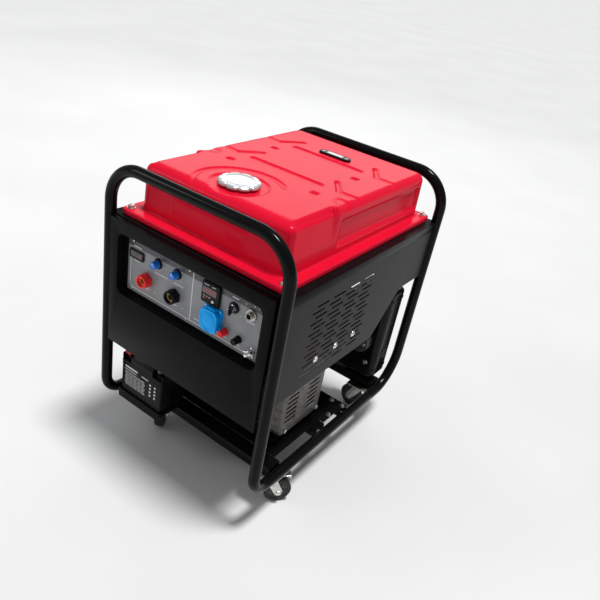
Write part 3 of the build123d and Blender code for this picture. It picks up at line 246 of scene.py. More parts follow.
def panel_material():
    """Grey control panel: darker printed band along the top, fine rolled grain."""
    material, tree, shader, coords = new_material("panel_grey")
    split = tree.nodes.new("ShaderNodeSeparateXYZ")
    tree.links.new(coords.outputs["Object"], split.inputs["Vector"])
    band = ramp(tree, span(tree, split.outputs["Z"], 0.0, 1.0, 0.5484 + LIFT * M, 0.5492 + LIFT * M),
        [(0.0, (0.27, 0.273, 0.286)), (1.0, (0.070, 0.071, 0.078))])
    mix = tree.nodes.new("ShaderNodeMix")
    mix.data_type = "RGBA"
    mix.blend_type = "MULTIPLY"
    put(mix, Factor=1.0)
    tree.links.new(band, mix.inputs["A"])
    drift = ramp(tree, noise(tree, coords, 25, 5), [(0.3, (0.86, 0.86, 0.86)), (0.7, (1.0, 1.0, 1.0))])
    tree.links.new(drift, mix.inputs["B"])
    tree.links.new(mix.outputs["Result"], shader.inputs["Base Color"])
    grain = noise(tree, coords, 500, 3, 0.6, (1, 1, 10))
    tree.links.new(span(tree, grain, 0.34, 0.44), shader.inputs["Roughness"])
    bump(tree, shader, grain, 0.4, 0.00003)
    return material


MAT["panel"] = panel_material()

LOOK_NODES = {
    "frame": "front_hoop rear_hoop base_frame",
    "sheet": "tank_rails front_cover control_box battery_tray engine_tray",
    "panel_sheet": "left_side_panel right_side_panel",
    "panel": "control_panel",
    "zinc": "caster_plates fasteners choke_lever",
    "steel": "ignition_key filler_neck crankshaft shaft_bearings",
    "iron": "flywheel rotor stator_core",
    "cast": "crankcase cylinder cylinder_head rocker_cover carburettor alternator_end_cover",
    "machined": "piston",
    "chrome": "panel_connectors ground_wing_nut",
    "cap": "fuel_cap",
    "tank": "fuel_tank_upper fuel_tank_lower",
    "exhaust": "blower_housing recoil_cover starter_motor silencer",
    "plastic": "panel_meters binding_cap_negative fuel_gauge recoil_handle oil_dipstick air_filter_box",
    "white": "meter_button",
    "red": "weld_sockets binding_cap_positive",
    "knob_blue": "current_knob arc_force_knob",
    "socket_blue": "mains_socket mains_socket_lid",
    "battery": "battery_case",
    "lead_red": "battery_leads",
}
CASTERS = ("fl", "fr", "rl", "rr")
for caster in CASTERS:
    LOOK_NODES["zinc"] += " caster_fork_" + caster
LOOK_NODES["rubber"] = " ".join("caster_wheel_" + caster for caster in CASTERS)
for look, names in LOOK_NODES.items():
    for name in names.split():
        mesh = nodes[name].data
        mesh.materials.clear()
        mesh.materials.append(MAT[look])


# ---------- mesh building
def smooth_step(value):
    value = min(1.0, max(0.0, value))
    return value * value * (3 - 2 * value)


def window(value, start, rise, stop, fall):
    """1 between start and stop, easing from 0 over rise after start and over fall before stop."""
    return smooth_step((value - start) / rise) * smooth_step((stop - value) / fall)


def axis_frame(axis):
    """Two directions square to axis, and the axis itself."""
    w = Vector(axis).normalized()
    helper = Vector((0, 0, 1)) if abs(w.z) < 0.9 else Vector((1, 0, 0))
    u = helper.cross(w).normalized()
    return u, w.cross(u), w


def round_rect(width, height, radius, steps=6):
    """Outline of a rounded rectangle round the origin, anticlockwise."""
    points = []
    corners = ((1, 1, 0), (-1, 1, 90), (-1, -1, 180), (1, -1, 270))
    for sx, sy, start in corners:
        cx = sx * (width / 2 - radius)
        cy = sy * (height / 2 - radius)
        for i in range(steps + 1):
            a = math.radians(start + 90 * i / steps)
            points.append((cx + radius * math.cos(a), cy + radius * math.sin(a)))
    return points


def is_sharp(edge, angle):
    return len(edge.link_faces) == 2 and math.degrees(edge.calc_face_angle(0)) > angle


def round_edges(bm, edges, width, segments=2):
    bmesh.ops.bevel(bm, geom=edges, offset=width, offset_type="OFFSET", segments=segments, profile=0.6,
            affect="EDGES", clamp_overlap=True)


class Build:
    """Collects shapes, each with its own look, into one visible piece. All lengths are millimetres."""

    def __init__(self):
        self.bm = bmesh.new()
        self.looks = []

    def paint(self, before, look):
        """Gives the look to every face that is not in before."""
        if look not in self.looks:
            self.looks.append(look)
        for face in self.bm.faces:
            if face not in before:
                face.material_index = self.looks.index(look)

    def bevel(self, faces, width, segments=2, angle=30):
        edges = dict.fromkeys(e for face in faces for e in face.edges if is_sharp(e, angle))
        if width > 0 and edges:
            round_edges(self.bm, list(edges), width, segments)

    def prism(self, outline, origin, u, v, depth, look, edge=0.4, segments=2):
        """Outline in the plane of u and v at origin, pushed along u x v by depth."""
        before = set(self.bm.faces)
        u = Vector(u).normalized()
        v = Vector(v).normalized()
        out = u.cross(v) * depth
        origin = Vector(origin)
        low = [self.bm.verts.new(origin + u * x + v * y) for x, y in outline]
        high = [self.bm.verts.new(vert.co + out) for vert in low]
        count = len(outline)
        for i in range(count):
            j = (i + 1) % count
            self.bm.faces.new((low[i], low[j], high[j], high[i]))
        self.bm.faces.new(list(reversed(low)))
        self.bm.faces.new(high)
        fresh = [f for f in self.bm.faces if f not in before]
        if depth < 0:
            bmesh.ops.reverse_faces(self.bm, faces=fresh)
        self.bevel(fresh, edge, segments, 50)
        self.paint(before, look)

    def box(self, low, high, look, edge=0.5, segments=2, turn=None):
        """Box between two corners, edges rounded; turn is a matrix applied about its middle."""
        before = set(self.bm.faces)
        low = Vector(low)
        high = Vector(high)
        middle = (low + high) / 2
        size = high - low
        matrix = Matrix.Translation(middle)
        if turn is not None:
            matrix = matrix @ turn.to_4x4()
        matrix = matrix @ Matrix.Diagonal((*size, 1))
        bmesh.ops.create_cube(self.bm, size=1.0, matrix=matrix)
        fresh = [f for f in self.bm.faces if f not in before]
        self.bevel(fresh, min(edge, min(size) * 0.45), segments)
        self.paint(before, look)

    def lathe(self, origin, axis, profile, look, segments=64, wave=None):
        """Turns profile points (radius, height) round an axis. A profile that starts and ends at radius 0
        closes itself; wave(angle, radius, height) may change the radius."""
        before = set(self.bm.faces)
        u, v, w = axis_frame(axis)
        origin = Vector(origin)
        rings = []
        for radius, height in profile:
            if radius < 1e-6:
                rings.append([self.bm.verts.new(origin + w * height)])
                continue
            ring = []
            for i in range(segments):
                a = 2 * math.pi * i / segments
                r = wave(a, radius, height) if wave else radius
                ring.append(self.bm.verts.new(origin + (u * math.cos(a) + v * math.sin(a)) * r + w * height))
            rings.append(ring)
        for first, second in zip(rings, rings[1:]):
            for i in range(segments):
                j = (i + 1) % segments
                if len(first) == 1 and len(second) == 1:
                    continue
                if len(first) == 1:
                    self.bm.faces.new((first[0], second[i], second[j]))
                elif len(second) == 1:
                    self.bm.faces.new((first[i], second[0], first[j]))
                else:
                    self.bm.faces.new((first[i], second[i], second[j], first[j]))
        self.paint(before, look)

    def ring_solid(self, origin, axis, outer, inner, low, high, look, edge=0.6, segments=64):
        """Washer or sleeve with small rounded edges."""
        e = edge
        profile = [(inner, low + e), (inner + e, low), (outer - e, low), (outer, low + e),
                (outer, high - e), (outer - e, high), (inner + e, high), (inner, high - e),
                (inner, low + e)]
        self.lathe(origin, axis, profile, look, segments)

    def drum(self, origin, axis, radius, low, high, look, edge=0.6, segments=48):
        """Solid round bar with rounded ends."""
        e = min(edge, radius * 0.45, (high - low) * 0.45)
        profile = [(0, low), (radius - e, low), (radius - 0.3 * e, low + 0.3 * e), (radius, low + e),
                (radius, high - e), (radius - 0.3 * e, high - 0.3 * e), (radius - e, high), (0, high)]
        self.lathe(origin, axis, profile, look, segments)

    def hexagon(self, origin, axis, across, low, high, look, edge=0.5, turn=0.0):
        u, v, w = axis_frame(axis)
        radius = across / math.sqrt(3)
        angles = [math.radians(60 * i) + turn for i in range(6)]
        outline = [(radius * math.cos(a), radius * math.sin(a)) for a in angles]
        self.prism(outline, Vector(origin) + w * low, u, v, high - low, look, edge)

    def tube(self, points, radius, look, sides):
        """Round tube along a list of points, smooth where the points are close together."""
        before = set(self.bm.faces)
        points = [Vector(p) for p in points]
        tangents = []
        for i, point in enumerate(points):
            ahead = points[min(i + 1, len(points) - 1)]
            behind = points[max(i - 1, 0)]
            tangents.append((ahead - behind).normalized())
        u = axis_frame(tangents[0])[0]
        rings = []
        for point, tangent in zip(points, tangents):
            u = (u - tangent * u.dot(tangent)).normalized()
            v = tangent.cross(u)
            ring = []
            for i in range(sides):
                a = 2 * math.pi * i / sides
                ring.append(self.bm.verts.new(point + (u * math.cos(a) + v * math.sin(a)) * radius))
            rings.append(ring)
        for first, second in zip(rings, rings[1:]):
            for i in range(sides):
                j = (i + 1) % sides
                self.bm.faces.new((first[i], first[j], second[j], second[i]))
        self.bm.faces.new(list(reversed(rings[0])))
        self.bm.faces.new(rings[-1])
        self.paint(before, look)

    def done(self, name, body, replaces=(), sharp=38):
        bmesh.ops.recalc_face_normals(self.bm, faces=self.bm.faces[:])
        mesh = bpy.data.meshes.new(name)
        bmesh.ops.translate(self.bm, vec=(0, 0, LIFT), verts=self.bm.verts[:])
        bmesh.ops.scale(self.bm, vec=(M, M, M), verts=self.bm.verts[:])
        self.bm.to_mesh(mesh)
        self.bm.free()
        mesh.shade_smooth()
        mesh.set_sharp_from_angle(angle=math.radians(sharp))
        for look in self.looks:
            mesh.materials.append(MAT[look])
        obj = link(name, mesh)
        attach(obj, body)
        if replaces:
            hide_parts(*replaces)


def box_mm(node):
    low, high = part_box(node)
    down = Vector((0, 0, LIFT))
    return Vector(low) / M - down, Vector(high) / M - down


def middle(node):
    low, high = box_mm(node)
    return (low + high) / 2


def soften(node, look, width, body="frame", flat=4.0):
    """Copy of a CAD node with its flat faces rebuilt and its edges rounded, shown in the node's place."""
    bm = bmesh.new()
    bm.from_mesh(nodes[node].data)
    bmesh.ops.scale(bm, vec=(1 / M, 1 / M, 1 / M), verts=bm.verts[:])
    bmesh.ops.translate(bm, vec=(0, 0, -LIFT), verts=bm.verts[:])
    bmesh.ops.remove_doubles(bm, verts=bm.verts[:], dist=0.005)
    bmesh.ops.dissolve_limit(bm, angle_limit=math.radians(flat), use_dissolve_boundaries=False,
            verts=bm.verts[:], edges=bm.edges[:])
    round_edges(bm, [e for e in bm.edges if is_sharp(e, 35)], width)
    shape = Build()
    shape.bm.free()
    shape.bm = bm
    shape.paint(set(), look)
    shape.done(node + "_shape", body, [node])


# ---------- fuel tank
TANK_LOW, TANK_HIGH = box_mm("fuel_tank_upper")
FLANGE_X = TANK_HIGH.x
FLANGE_Y = TANK_HIGH.y
TANK_TOP = TANK_HIGH.z
SEAM = TANK_LOW.z + 10.0
WALL_X = 212.0
WALL_FRONT = -296.0
WALL_REAR = 303.0
DRAFT = 0.017      # how much the walls lean in for each millimetre of height
EDGE_DROP = 20.0   # height of the rounded edge round the top
CAP = middle("fuel_cap")

CHANNELS = [
    ([(-100, -40), (100, -40)], 7.0, 3.4),
    ([(-100, 139), (100, 139)], 7.0, 3.4),
]
for side in (-1, 1):
    CHANNELS.append(([(side * 216, -34), (side * 150, -38)], 6.0, 2.2))
    CHANNELS.append(([(side * 150, -38), (side * 134, -14), (side * 112, 14)], 5.0, 4.2))
    CHANNELS.append(([(side * 216, 137), (side * 150, 136)], 6.0, 2.2))
    CHANNELS.append(([(side * 150, 136), (side * 134, 164), (side * 113, 194)], 5.0, 4.2))
DIMPLES = [(side * 124, y) for side in (-1, 1) for y in (-98, 76)]


def to_segment(x, y, a, b):
    dx = b[0] - a[0]
    dy = b[1] - a[1]
    t = ((x - a[0]) * dx + (y - a[1]) * dy) / (dx * dx + dy * dy)
    t = min(1.0, max(0.0, t))
    return math.hypot(x - a[0] - t * dx, y - a[1] - t * dy)


def tank_top_relief(x, y):
    """Height of the pressings in the top face, relative to its flat, in millimetres."""
    relief = 0.0
    for points, half, depth in CHANNELS:
        distance = min(to_segment(x, y, a, b) for a, b in zip(points, points[1:]))
        relief = min(relief, -depth * smooth_step((half + 3.0 - distance) / 5.0))
    for dx, dy in DIMPLES:
        reach = max(abs(x - dx) - 7.0, abs(y - dy) - 5.5)
        relief = min(relief, -4.0 * smooth_step((3.0 - reach) / 3.5))
    from_cap = math.hypot(x - CAP.x, y - CAP.y)
    relief = min(relief, -3.0 * smooth_step((70.0 - from_cap) / 5.0))
    angle = math.degrees(math.atan2(y - CAP.y, x - CAP.x)) % 360
    if 40 < angle < 235:
        fade = window(angle, 40, 14, 235, 14)
        relief = min(relief, -2.6 * fade * smooth_step((9.0 - abs(from_cap - 101)) / 6.0))
    ledge = window(y, -278, 12.0, -130, 8.0) * smooth_step((abs(x) - 190.0) / 9.0)
    relief = min(relief, -11.0 * ledge)
    knob = math.hypot((abs(x) - 205) / 1.2, y + 124)
    relief += 3.0 * smooth_step((15 - knob) / 12.0)
    return relief - 2.0 * smooth_step((abs(x) - 168) / 10) * window(y, -108, 12, -66, 12)


def tank_wall_relief(x, y, z, side):
    """How far a wall (left, right, front or rear) stands out of its plain slope, in millimetres."""
    if side in ("left", "right"):
        panel = -7.0 * window(y, -112, 16.0, 292, 10.0) * window(z, 640, 14.0, 712, 12.0)
        return panel - smooth_step((-118 - y) / 22.0) * 0.10 * max(0.0, z - 660)
    if side == "front":
        first = window(x, -112, 12.0, 110, 12.0) * window(z, 640, 40.0, 685.5, 2.5)
        second = window(x, 48, 6.0, 100, 6.0) * window(z, 650, 25.0, 680, 2.0)
        return 2.4 * first + 1.2 * second
    return -4.0 * window(x, -150, 14.0, 150, 14.0) * window(z, 648, 12.0, 706, 12.0)


def make_tank():
    nx, ny, nc = 110, 152, 9  # cells across, along and round each corner
    rings = []

    def ring(half, front, rear, z, corner, relief=False):
        """One closed ring of points, always the same number, starting at the right end of the front."""
        c = max(0.0, corner)
        rows = []
        sides = (
            ("front", (half - c, front), (-half + c, front), nx, 270, (-half + c, front + c)),
            ("left", (-half, front + c), (-half, rear - c), ny, 180, (-half + c, rear - c)),
            ("rear", (-half + c, rear), (half - c, rear), nx, 90, (half - c, rear - c)),
            ("right", (half, rear - c), (half, front + c), ny, 0, (half - c, front + c)),
        )
        for side, start, end, count, angle, centre in sides:
            out = {"front": (0, -1), "left": (-1, 0), "rear": (0, 1), "right": (1, 0)}[side]
            for i in range(count + 1):
                t = i / count
                x = start[0] + (end[0] - start[0]) * t
                y = start[1] + (end[1] - start[1]) * t
                push = tank_wall_relief(x, y, z, side) if relief else 0.0
                rows.append((x + out[0] * push, y + out[1] * push, z))
            for i in range(1, nc):
                a = math.radians(angle - 90 * i / nc)
                x = centre[0] + c * math.cos(a)
                y = centre[1] + c * math.sin(a)
                rows.append((x, y, z))
        rings.append(rows)

    for inset, rise, corner in ((1.8, -10.0, 11), (0, -10.0, 12), (0, 0.4, 12), (0.5, 1.5, 12),
            (1.8, 2.0, 12)):
        ring(FLANGE_X - inset, -FLANGE_Y + inset, FLANGE_Y - inset, SEAM + rise, corner)
    for k in range(1, 4):
        t = k / 4
        ring(FLANGE_X + (WALL_X + 5 - FLANGE_X) * t, -FLANGE_Y + (WALL_FRONT - 5 + FLANGE_Y) * t,
             FLANGE_Y + (WALL_REAR + 5 - FLANGE_Y) * t, SEAM + 2.0, 12 + 16 * t)
    for k in range(5):
        a = math.radians(22.5 * k)
        reach = 5.0 * (1 - math.sin(a))
        ring(WALL_X + reach, WALL_FRONT - reach, WALL_REAR + reach, SEAM + 7.0 - 5.0 * math.cos(a),
                23 + reach)
    top_start = TANK_TOP - EDGE_DROP
    low_z = SEAM + 7.0
    steps = 30
    for k in range(1, steps + 1):
        z = low_z + (top_start - low_z) * k / steps
        inset = DRAFT * (z - low_z)
        ring(WALL_X - inset, WALL_FRONT + inset, WALL_REAR - inset, z, 23, True)
    inset = DRAFT * (top_start - low_z)
    side_h, front_h = 19.0, 32.0  # how far the rounded top edge reaches in
    for k in range(1, 9):
        a = math.radians(90 * k / 8)
        h = 1 - math.cos(a)
        ring(WALL_X - inset - side_h * h, WALL_FRONT + inset + front_h * h, WALL_REAR - inset - side_h * h,
             top_start + EDGE_DROP * math.sin(a), 23 - 12 * h, k < 5)
    flat_x = WALL_X - inset - side_h
    flat_front = WALL_FRONT + inset + front_h
    flat_rear = WALL_REAR - inset - side_h
    for k in range(1, 7):
        t = 4.0 * k
        ring(flat_x - t, flat_front + t, flat_rear - t, TANK_TOP, 11 - 11 * k / 6)
    x_in, y_in, y_out = flat_x - 24, flat_front + 24, flat_rear - 24

    verts = [point for rows in rings for point in rows]
    faces = []
    count = len(rings[0])
    for k in range(len(rings) - 1):
        for i in range(count):
            j = (i + 1) % count
            faces.append((k * count + i, k * count + j, (k + 1) * count + j, (k + 1) * count + i))
    base = len(verts)
    for row in range(ny + 1):
        y = y_in + (y_out - y_in) * row / ny
        for column in range(nx + 1):
            verts.append((-x_in + 2 * x_in * column / nx, y, TANK_TOP))
    for row in range(ny):
        for column in range(nx):
            a = base + row * (nx + 1) + column
            faces.append((a, a + 1, a + nx + 2, a + nx + 1))
    shape = Build()
    made = []
    for x, y, z in verts:
        weight = smooth_step((z - TANK_TOP + 17.0) / 15.0)
        drop = tank_top_relief(x, y) * weight if weight > 0 else 0.0
        made.append(shape.bm.verts.new((x, y, z + drop)))
    for face in faces:
        shape.bm.faces.new([made[i] for i in face])
    bmesh.ops.remove_doubles(shape.bm, verts=shape.bm.verts[:], dist=0.02)
    shape.paint(set(), "tank")
    shape.done("tank_upper_pressing", "frame", ["fuel_tank_upper"], sharp=80)


make_tank()


# ---------- control panel
FACE = box_mm("control_panel")[0].y
RIGHT, UP, OUT = Vector((1, 0, 0)), Vector((0, 0, 1)), Vector((0, -1, 0))


def on_face(x, z, height=0.0):
    """Point standing a height in front of the grey panel."""
    return Vector((x, FACE - height, z))


def plate(shape, x, z, width, height, radius, low, high, look, edge=0.4):
    """Rounded plate on the grey panel, between two heights in front of it."""
    shape.prism(round_rect(width, height, radius), on_face(x, z, low), RIGHT, UP, high - low, look, edge)


def around(degrees):
    """Direction in the panel's plane, by its angle from RIGHT."""
    a = math.radians(degrees)
    return Vector((math.cos(a), 0, math.sin(a)))


def print_line(shape, points, line, look):
    """Printed line of constant width along points of the panel face."""
    sides = []
    for sign in (-1, 1):
        side = []
        for i, (x, z) in enumerate(points):
            before = points[max(i - 1, 0)]
            after = points[min(i + 1, len(points) - 1)]
            along = Vector((after[0] - before[0], after[1] - before[1])).normalized()
            side.append((x - sign * along.y * line / 2, z + sign * along.x * line / 2))
        sides.append(side)
    for k in range(len(points) - 1):
        quad = [sides[0][k], sides[0][k + 1], sides[1][k + 1], sides[1][k]]
        before = set(shape.bm.faces)
        shape.bm.faces.new([shape.bm.verts.new(on_face(x, z, INK)) for x, z in quad])
        shape.paint(before, look)


INK = 0.25
KNOBS = ["current_knob", "arc_force_knob"]
METER_SIZE = (52.0, 52.0)
METER = (62.0, 537.5)
HOUR_METER = (-171.0, 532.0)
MAINS_X, MAINS_Z = 73.0, 482.0
KEY = middle("ignition_key")
KEY_Z = box_mm("ignition_key")[1].z - 10.0
REMOTE = (172.0, 537.0)
GROUND = middle("ground_wing_nut")
SOCKETS = [(-136.0, 481.0, "red"), (-46.0, 481.0, "plastic")]


def make_panel_print():
    shape = Build()
    turns = [math.radians(a) for a in range(90, -1, -15)]
    corner = [(-178 - 14 * math.sin(a), 455 - 14 * math.cos(a)) for a in turns]
    print_line(shape, [(-192, 546)] + corner + [(166, 441)], 2.3, "ink_light")
    print_line(shape, [(5, 562), (5, 441)], 2.3, "ink_light")
    for x, z, width, height in ((-171, 551, 26, 2.0), (-92, 512, 40, 2.0), (-36, 512, 30, 2.0),
            (126, 556, 18, 2), (172, 518, 22, 2), (-136, 458, 20, 2.2), (-46, 458, 20, 2.2),
            (30, 452, 26, 2), (186, 438.5, 12, 1.6), (110, 449, 10, 1.6), (148, 449, 10, 1.6),
            (-171, 515, 22, 1.6)):
        plate(shape, x, z, width, height, 0.5, 0, INK, "ink_light", 0)
    for x, z in ((155, 556), (177, 560), (144, 520), (108, 520)):
        shape.drum(on_face(x, z), OUT, 1.5, 0, INK, "ink_light", 0.05, 16)
    for node in KNOBS:
        centre = middle(node)
        for i in range(11):
            a = math.radians(-135 + 27 * i)
            long = 3.4 if i % 5 == 0 else 2.2
            tip = Vector((math.sin(a), 0, math.cos(a)))
            side = Vector((math.cos(a), 0, -math.sin(a)))
            shape.prism(round_rect(0.9, long, 0.2), on_face(centre.x, centre.z) + tip * (15.2 + long / 2),
                    side, tip, -INK if side.cross(tip).y > 0 else INK, "ink_light", 0)
    for x, z, look in SOCKETS:
        mark = x + 27
        shape.box(on_face(mark - 3.2, z - 22.6, INK), on_face(mark + 3.2, z - 21.6, 0), "ink_light", 0)
        if look == "red":
            shape.box(on_face(mark - 0.5, z - 25.3, INK), on_face(mark + 0.5, z - 18.9, 0), "ink_light", 0)
    shape.done("panel_print", "frame")


def make_knob(node):
    centre = middle(node)
    base = on_face(centre.x, centre.z)

    def flutes(a, radius, height):
        depth = 0.075 if radius > 7.5 and height > 4.6 else 0.0
        return radius * (1 - depth * max(0.0, math.cos(12 * a)) ** 2)

    shape = Build()
    shape.lathe(base, OUT, [(0, 1.0), (12, 1.0), (12.5, 1.6), (12.5, 3.2), (11.8, 4.3), (10.5, 4.6),
            (0, 4.6)], "plastic", 72)
    shape.lathe(base, OUT, [(0, 4.5), (9.3, 4.5), (9.2, 6.0), (8.8, 18.4), (8.4, 19.8), (7.6, 20.5),
            (6.6, 20.3), (6.0, 19.6), (3, 19.4), (0, 19.4)], "knob_blue", 144, flutes)
    shape.drum(base, OUT, 3.0, -14.0, 2.0, "steel", 0.5, 24)
    pointer = (on_face(centre.x - 0.9, centre.z + 1.5, 21.0), on_face(centre.x + 0.9, centre.z + 8.0, 19.2))
    shape.box(*pointer, "ink_light", 0.3)
    shape.done(node + "_shape", node, [node])


def make_weld_sockets():
    shape = Build()
    for x, z, look in SOCKETS:
        base = on_face(x, z)
        shape.hexagon(base, OUT, 32.0, 0, 5, look, 0.9, math.radians(90))
        shape.lathe(base, OUT, [(11.2, 15), (11.2, 19.8), (11.9, 20.8), (13.2, 21.0), (15.0, 20.6),
                (16.2, 19.6), (16.5, 18.2), (16.5, 5.0), (11.2, 5.0), (11.2, 15)], look, 72)
        shape.lathe(base, OUT, [(6.65, -11.5), (6.65, 14.2), (7.3, 15.0), (10.4, 15.0), (11.0, 14.2),
                (11.0, -2.0), (14.9, -2.0), (14.9, -24), (9, -24), (9, -11.5), (6.65, -11.5)], "brass", 64)
        # Dark disc at the bottom of the bore: painted shade standing for the depth of the hole.
        shape.drum(base, OUT, 6.6, -12.5, -11.0, "ink_and_recess_shade_dark", 0.3, 32)
        shape.box(on_face(x - 1.6, z + 7.0, 15.9), on_face(x + 1.6, z + 10.9, 15.0), look, 0.3)
    shape.done("weld_sockets_shape", "frame", ["weld_sockets"])


def make_meters():
    shape = Build()
    x, z = METER
    plate(shape, x, z, *METER_SIZE, 5, 0, 5.2, "plastic", 0.4)
    plate(shape, x, z, METER_SIZE[0] - 3, METER_SIZE[1] - 3, 4, 5.0, 7.0, "plastic", 1.1)
    plate(shape, x - 2.5, z + 5.0, 40, 16, 2, 6.9, 7.3, "display_black", 0.15)
    plate(shape, x - 2.5, z + 5.0, 36, 12.5, 1, 7.2, 7.45, "display_red", 0.1)
    for i in range(3):
        plate(shape, x - 13 + 9.5 * i, z + 5.0, 0.8, 8.5, 0.3, 7.4, 7.5, "lead_red", 0)
        plate(shape, x - 10.5 + 9.5 * i, z + 9.0, 3.6, 0.8, 0.3, 7.4, 7.5, "lead_red", 0)
        plate(shape, x - 10.5 + 9.5 * i, z + 1.0, 3.6, 0.8, 0.3, 7.4, 7.5, "lead_red", 0)
    for dx, dz, width in ((-12, 19, 14), (9, 19, 10), (-17, -9, 5), (-9, -9, 5), (-1, -9, 5), (-17, -15, 4)):
        plate(shape, x + dx, z + dz, width, 1.4, 0.4, 6.9, 7.15, "ink_light", 0)
    for dx in (-17, -9, -1):
        shape.drum(on_face(x + dx, z - 12), OUT, 1.2, 6.9, 7.5, "red", 0.3, 16)
    button = middle("meter_button")
    shape.ring_solid(on_face(button.x, button.z), OUT, 5.2, 4.0, 6.6, 7.6, "plastic", 0.3, 32)
    shape.box((x - 22, FACE, z - 17), (x + 22, FACE + 32, z + 17), "plastic", 1.0)
    x, z = HOUR_METER
    plate(shape, x, z, 46, 22.5, 3, 0, 3.9, "plastic", 0.8)
    plate(shape, x, z, 36, 12.5, 1.5, 3.8, 4.2, "display_black", 0.15)
    for i in range(6):
        plate(shape, x - 13.5 + 5.4 * i, z, 4.2, 7.5, 0.5, 4.1, 4.4, "ink_and_recess_shade_dark" if i < 5 else "lead_red", 0.1)
        plate(shape, x - 13.5 + 5.4 * i, z, 0.7, 5.2, 0.3, 4.4, 4.5, "ink_grey", 0)
    shape.box((x - 20, FACE, z - 9), (x + 20, FACE + 18, z + 9), "plastic", 1.0)
    shape.done("panel_meters_shape", "frame", ["panel_meters"])
    shape = Build()
    low, high = box_mm("meter_button")
    radius = (high.x - low.x) / 2
    depth = high.y - low.y
    base = Vector((button.x, high.y, button.z))
    shape.lathe(base, OUT, [(0, 0), (radius, 0), (radius, depth - 1.2), (radius - 0.5, depth - 0.4),
            (radius - 1.4, depth), (0, depth)], "white", 40)
    shape.done("meter_button_shape", "meter_button", ["meter_button"])


def make_mains():
    x, z = MAINS_X, MAINS_Z
    base = on_face(x, z)
    shape = Build()
    plate(shape, x, z, 52, 57, 6, 0, 3.0, "socket_blue", 0.3)
    plate(shape, x, z, 50, 55, 5, 3.0, 6.0, "socket_blue", 1.4)
    shape.lathe(base, OUT, [(19.9, -7), (19.9, 12.2), (20.6, 13), (22.6, 13), (23.6, 12.0), (23.8, 6),
            (23.8, -24), (0, -24), (0, -8), (19.9, -8), (19.9, -7)], "socket_blue", 72)
    for i in range(3):
        spot = base + around(90 + 120 * i) * 9.5
        shape.ring_solid(spot, OUT, 4.0, 2.4, -8.2, -6.8, "brass", 0.3, 24)
    hinge_y = box_mm("mains_socket")[0].y
    for sign in (-1, 1):
        near, far = sorted((x + sign * 9, x + sign * 14))
        shape.box((near, hinge_y, z + 24.4), (far, FACE - 5, z + 29.2), "socket_blue", 0.9)
        for dz in (-24.5, 24.5):
            shape.lathe(on_face(x + sign * 20.5, z + dz), OUT, [(0, 5.8), (2.8, 5.8), (2.8, 6.3),
                    (2.0, 6.9), (0, 7.0)], "zinc", 24)
    shape.done("mains_socket_shape", "frame", ["mains_socket"])
    shape = Build()
    lid_face = FACE - 13.6
    centre = Vector((x, lid_face, z - 1.5))

    def dome(radius, height):
        return max(0.0, height * (1 - (radius / 25.0) ** 2))

    shape.prism(round_rect(50, 55, 15, 10), centre, RIGHT, UP, 3.2, "socket_blue", 0.3)
    shape.prism(round_rect(48.4, 53.4, 14.4, 10), centre + OUT * 3.2, RIGHT, UP, 2.8, "socket_blue", 1.6, 4)
    shape.lathe(centre, OUT, [(0, 5.8), (21.5, 5.8), (21.0, 6.9), (19.6, 7.4), (18.2, 6.9), (17.6, 6.2)]
            + [(r, 6.2 + dome(r, 1.4)) for r in (15, 11, 7, 3)] + [(0, 7.6)], "socket_blue", 72)
    for i in range(-1, 2):
        shape.box(centre + Vector((-7, -6.9, -24.6 + 2.2 * i)), centre + Vector((7, -5.8, -23.6 + 2.2 * i)),
                "socket_blue", 0.4)
    axis = Vector((x, FACE - 13.0, z + 27.0))
    shape.drum(axis, (1, 0, 0), 3.2, -8.4, 8.4, "socket_blue", 0.6, 32)
    shape.drum(axis, (1, 0, 0), 1.6, -14, 14, "steel", 0.3, 24)
    shape.done("mains_socket_lid_shape", "mains_socket_lid", ["mains_socket_lid"])


